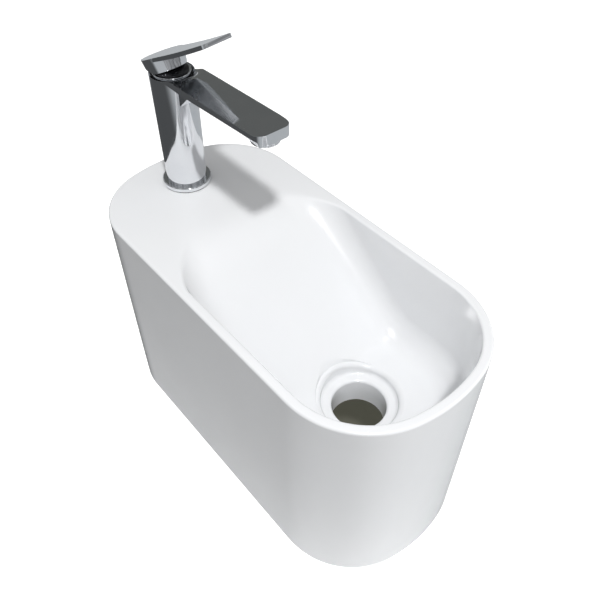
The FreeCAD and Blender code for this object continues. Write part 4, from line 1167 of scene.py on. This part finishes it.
@dataclass
class Studio:
    """Floor, light and camera, in metres and degrees."""

    camera_place: Point = (0.3093, -0.2429, 0.5737)
    camera_tilt: float = 43.69
    camera_turn: float = 49.97
    lens: float = 39.66
    sensor: float = 36.0
    lamps: tuple[Lamp, ...] = (
        Lamp("key", (0.415, -0.224, 0.88), 17.9, 1.6, 0.12, mirrored=True),
        Lamp("end_fill", (0.82, 0.57, -0.08), 11.5, 1.5, 0.25),
        Lamp("side_fill", (-0.57, -0.82, 0.05), 4.0, 1.5, 0.9),
    )
    zenith: float = 0.72
    horizon: float = 0.2
    floor_size: float = 12.0
    floor_rough: float = 0.9
    floor_seen: Opaque = (0.94, 0.94, 0.94, 1.0)
    # For all but camera and mirror rays, the floor is dark away from the basin and glows near it.
    # The glow is painted bounce light on the basin's lower walls.
    floor_shade: Fade = Fade(0.8, 0.04, 0.25, 0.7)
    floor_bounce_glow: Fade = Fade(0.36, 0.0, 0.2, 0.5)
    floor_glow: Fade = Fade(0.4, 1.0, 0.7, 1.8)
    apron_glow: Fade = Fade(0.08, 0.5, 0.4, 0.75, (-0.35, -0.35, 0.0))
    apron_tint: Colour = (0.93, 0.97, 1.0)
    apron_size: float = 11.0
    apron_lift: float = 0.0004
    room_tint: Colour = (0.96, 0.98, 1.0)
    room_radius: float = 4.0
    room_rings: int = 24
    room_scale: float = 1.1
    room_low: float = 0.1
    room_high: float = 0.52
    card_place: Point = (-1.6, 0.9, 1.0)
    card_aim: Point = (-0.1, 0.0, 0.3)
    card_size: Pair = (2.6, 2.4)
    card_tint: Colour = (0.115, 0.119, 0.116)
    # A painted shade under the basin: a dark plate with a faint painted glow, seen through the
    # waste hole.
    shade_place: Point = (0.02, 0.0, 0.0006)
    shade_size: Pair = (0.23, 0.15)
    painted_shade_colour: Opaque = (0.06, 0.06, 0.048, 1.0)
    painted_shade_glow: Opaque = (0.07, 0.07, 0.054, 1.0)
    painted_shade_glow_power: float = 0.9
    shade_scale: float = 45.0
    shade_rough: Pair = (0.75, 1.25)

    def seen(self, bench: Bench) -> Socket:
        """A mask of the rays that show a backdrop: seen straight, mirrored or through glass.

        Args:
            bench: the tree to wire it in.

        Returns:
            The mask.
        """
        path = bench.add("ShaderNodeLightPath")
        mask = path.outputs["Is Camera Ray"]
        for name in ("Is Glossy Ray", "Is Transmission Ray"):
            larger = bench.add("ShaderNodeMath", {0: mask, 1: path.outputs[name]},
                               operation="MAXIMUM")
            mask = larger.outputs["Value"]
        return mask

    def sheet(self, name: str, size: float) -> Piece:
        """A flat square on the ground.

        Args:
            name: its name.
            size: its side in metres.

        Returns:
            The square.
        """
        bpy.ops.mesh.primitive_plane_add(size=size, location=(0.0, 0.0, 0.0))
        sheet = bpy.context.object
        sheet.name = name
        return sheet

    def mirror_only(self, thing: Piece, tint: Colour,
                    strength: Callable[[Bench], Socket] | None = None) -> None:
        """Let a stage piece glow, and hide it from all but reflections.

        Args:
            thing: the piece.
            tint: colour of the glow.
            strength: wires the glow's strength, which is 1 without it.
        """
        material, bench = blank(thing.name)
        glow = bench.add("ShaderNodeEmission", {"Color": (*tint, 1.0)})
        if strength:
            bench.feed(glow, {"Strength": strength(bench)})
        bench.feed(material.node_tree.nodes["Material Output"],
                   {"Surface": glow.outputs["Emission"]})
        thing.data.materials.append(material)
        thing.visible_camera = False
        thing.visible_diffuse = False
        thing.visible_shadow = False
        thing.visible_transmission = False

    def floor(self) -> None:
        """A plain pale floor that throws light back only close to the basin, where it also glows
        as painted bounce light.
        """
        floor = self.sheet("studio_floor", self.floor_size)
        material, bench = blank("pale_floor")
        mask = self.seen(bench)
        shade = bench.add("ShaderNodeMix", {
            "A": self.floor_shade.wire(bench), "B": self.floor_seen, "Factor": mask},
            data_type="RGBA")
        # Painted bounce light near the basin for other rays; a plain white glow for camera and
        # mirror rays.
        glow = bench.add("ShaderNodeMix", {
            "A": self.floor_bounce_glow.wire(bench), "B": self.floor_glow.wire(bench), "Factor": mask},
            data_type="RGBA")
        bench.feed(material.node_tree.nodes["Principled BSDF"], {
            "Base Color": shade.outputs["Result"], "Emission Color": glow.outputs["Result"],
            "Emission Strength": 1.0, "Roughness": self.floor_rough,
            "Specular IOR Level": 0.0})
        floor.data.materials.append(material)

    def world(self) -> None:
        """Light from all round that is stronger overhead, and a white background."""
        world = bpy.data.worlds.new("studio")
        bpy.context.scene.world = world
        world.use_nodes = True
        bench = Bench(world.node_tree)
        where = bench.add("ShaderNodeTexCoord")
        parts = bench.add("ShaderNodeSeparateXYZ", {"Vector": where.outputs["Generated"]})
        sky = bench.add("ShaderNodeMapRange", {
            "Value": parts.outputs["Z"], "To Min": self.horizon, "To Max": self.zenith})
        mix = bench.add("ShaderNodeMix", {
            "A": sky.outputs["Result"], "B": (1.0, 1.0, 1.0, 1.0), "Factor": self.seen(bench)},
            data_type="RGBA")
        bench.feed(world.node_tree.nodes["Background"], {
            "Color": mix.outputs["Result"], "Strength": 1.0})

    def card(self) -> None:
        """A dark card behind the tap."""
        card = self.sheet("dark_behind", 1.0)
        place, aim = Vector(self.card_place), Vector(self.card_aim)
        turn = (aim - place).to_track_quat("Z", "Y").to_matrix().to_4x4()
        size = Matrix.Diagonal((*self.card_size, 1.0, 1.0))
        card.data.transform(Matrix.Translation(place) @ turn @ size)
        self.mirror_only(card, self.card_tint)

    def apron(self) -> None:
        """A dark sheet on the floor, as of a workshop floor."""
        apron = self.sheet("dark_apron", self.apron_size)
        apron.data.transform(Matrix.Translation((0.0, 0.0, self.apron_lift)))
        self.mirror_only(apron, self.apron_tint, self.apron_glow.wire)

    def room(self) -> None:
        """A dome of soft light and dark patches."""
        def strength(bench: Bench) -> Socket:
            """Strength of the glow, in patches."""
            return bench.use(EFFECTS.patches(), {
                "Scale": self.room_scale, "Low": self.room_low, "High": self.room_high})
        bpy.ops.mesh.primitive_uv_sphere_add(segments=2 * self.room_rings,
                                             ring_count=self.room_rings,
                                             radius=self.room_radius)
        room = bpy.context.object
        room.name = "room"
        self.mirror_only(room, self.room_tint, strength)

    def painted_shade_below(self) -> None:
        """A painted shade: a dark plate on the floor inside the basin's foot that shows through
        the waste hole, lifted by a faint glow that is painted light.
        """
        below = self.sheet("painted_shade_below", 1.0)
        below.data.transform(Matrix.Translation(self.shade_place)
                             @ Matrix.Diagonal((*self.shade_size, 1.0, 1.0)))
        material, bench = blank("painted_shade_below")
        rough = bench.use(EFFECTS.patches(), {
            "Scale": self.shade_scale, "Low": self.shade_rough[0], "High": self.shade_rough[1]})
        # Painted shade with a faint painted glow, for the dark seen through the waste hole.
        bench.feed(material.node_tree.nodes["Principled BSDF"], {
            "Base Color": self.painted_shade_colour, "Emission Color": self.painted_shade_glow,
            "Emission Strength": self.painted_shade_glow_power, "Roughness": rough})
        below.data.materials.append(material)

    def camera(self) -> None:
        """The photograph's viewpoint."""
        data = bpy.data.cameras.new("camera")
        data.lens = self.lens
        data.sensor_width = self.sensor
        camera = bpy.data.objects.new("camera", data)
        bpy.context.scene.collection.objects.link(camera)
        camera.location = self.camera_place
        camera.rotation_euler = (math.radians(self.camera_tilt), 0.0,
                                 math.radians(self.camera_turn))
        bpy.context.scene.camera = camera

    def build(self) -> None:
        """Set up the whole studio."""
        self.floor()
        self.world()
        self.card()
        self.apron()
        self.room()
        self.painted_shade_below()
        for lamp in self.lamps:
            lamp.build()
        self.camera()
        bpy.context.scene.view_settings.view_transform = "Standard"
        LOG.info("studio ready")


def main() -> None:
    """Build the pieces and the studio in order."""
    logging.basicConfig(level=logging.INFO)
    bpy.ops.object.select_all(action="DESELECT")
    wardrobe = Wardrobe()
    wardrobe.dress_frame()
    Basin(wardrobe).build()
    Mixer(wardrobe).build()
    Studio().build()


if __name__ == "__main__":
    main()
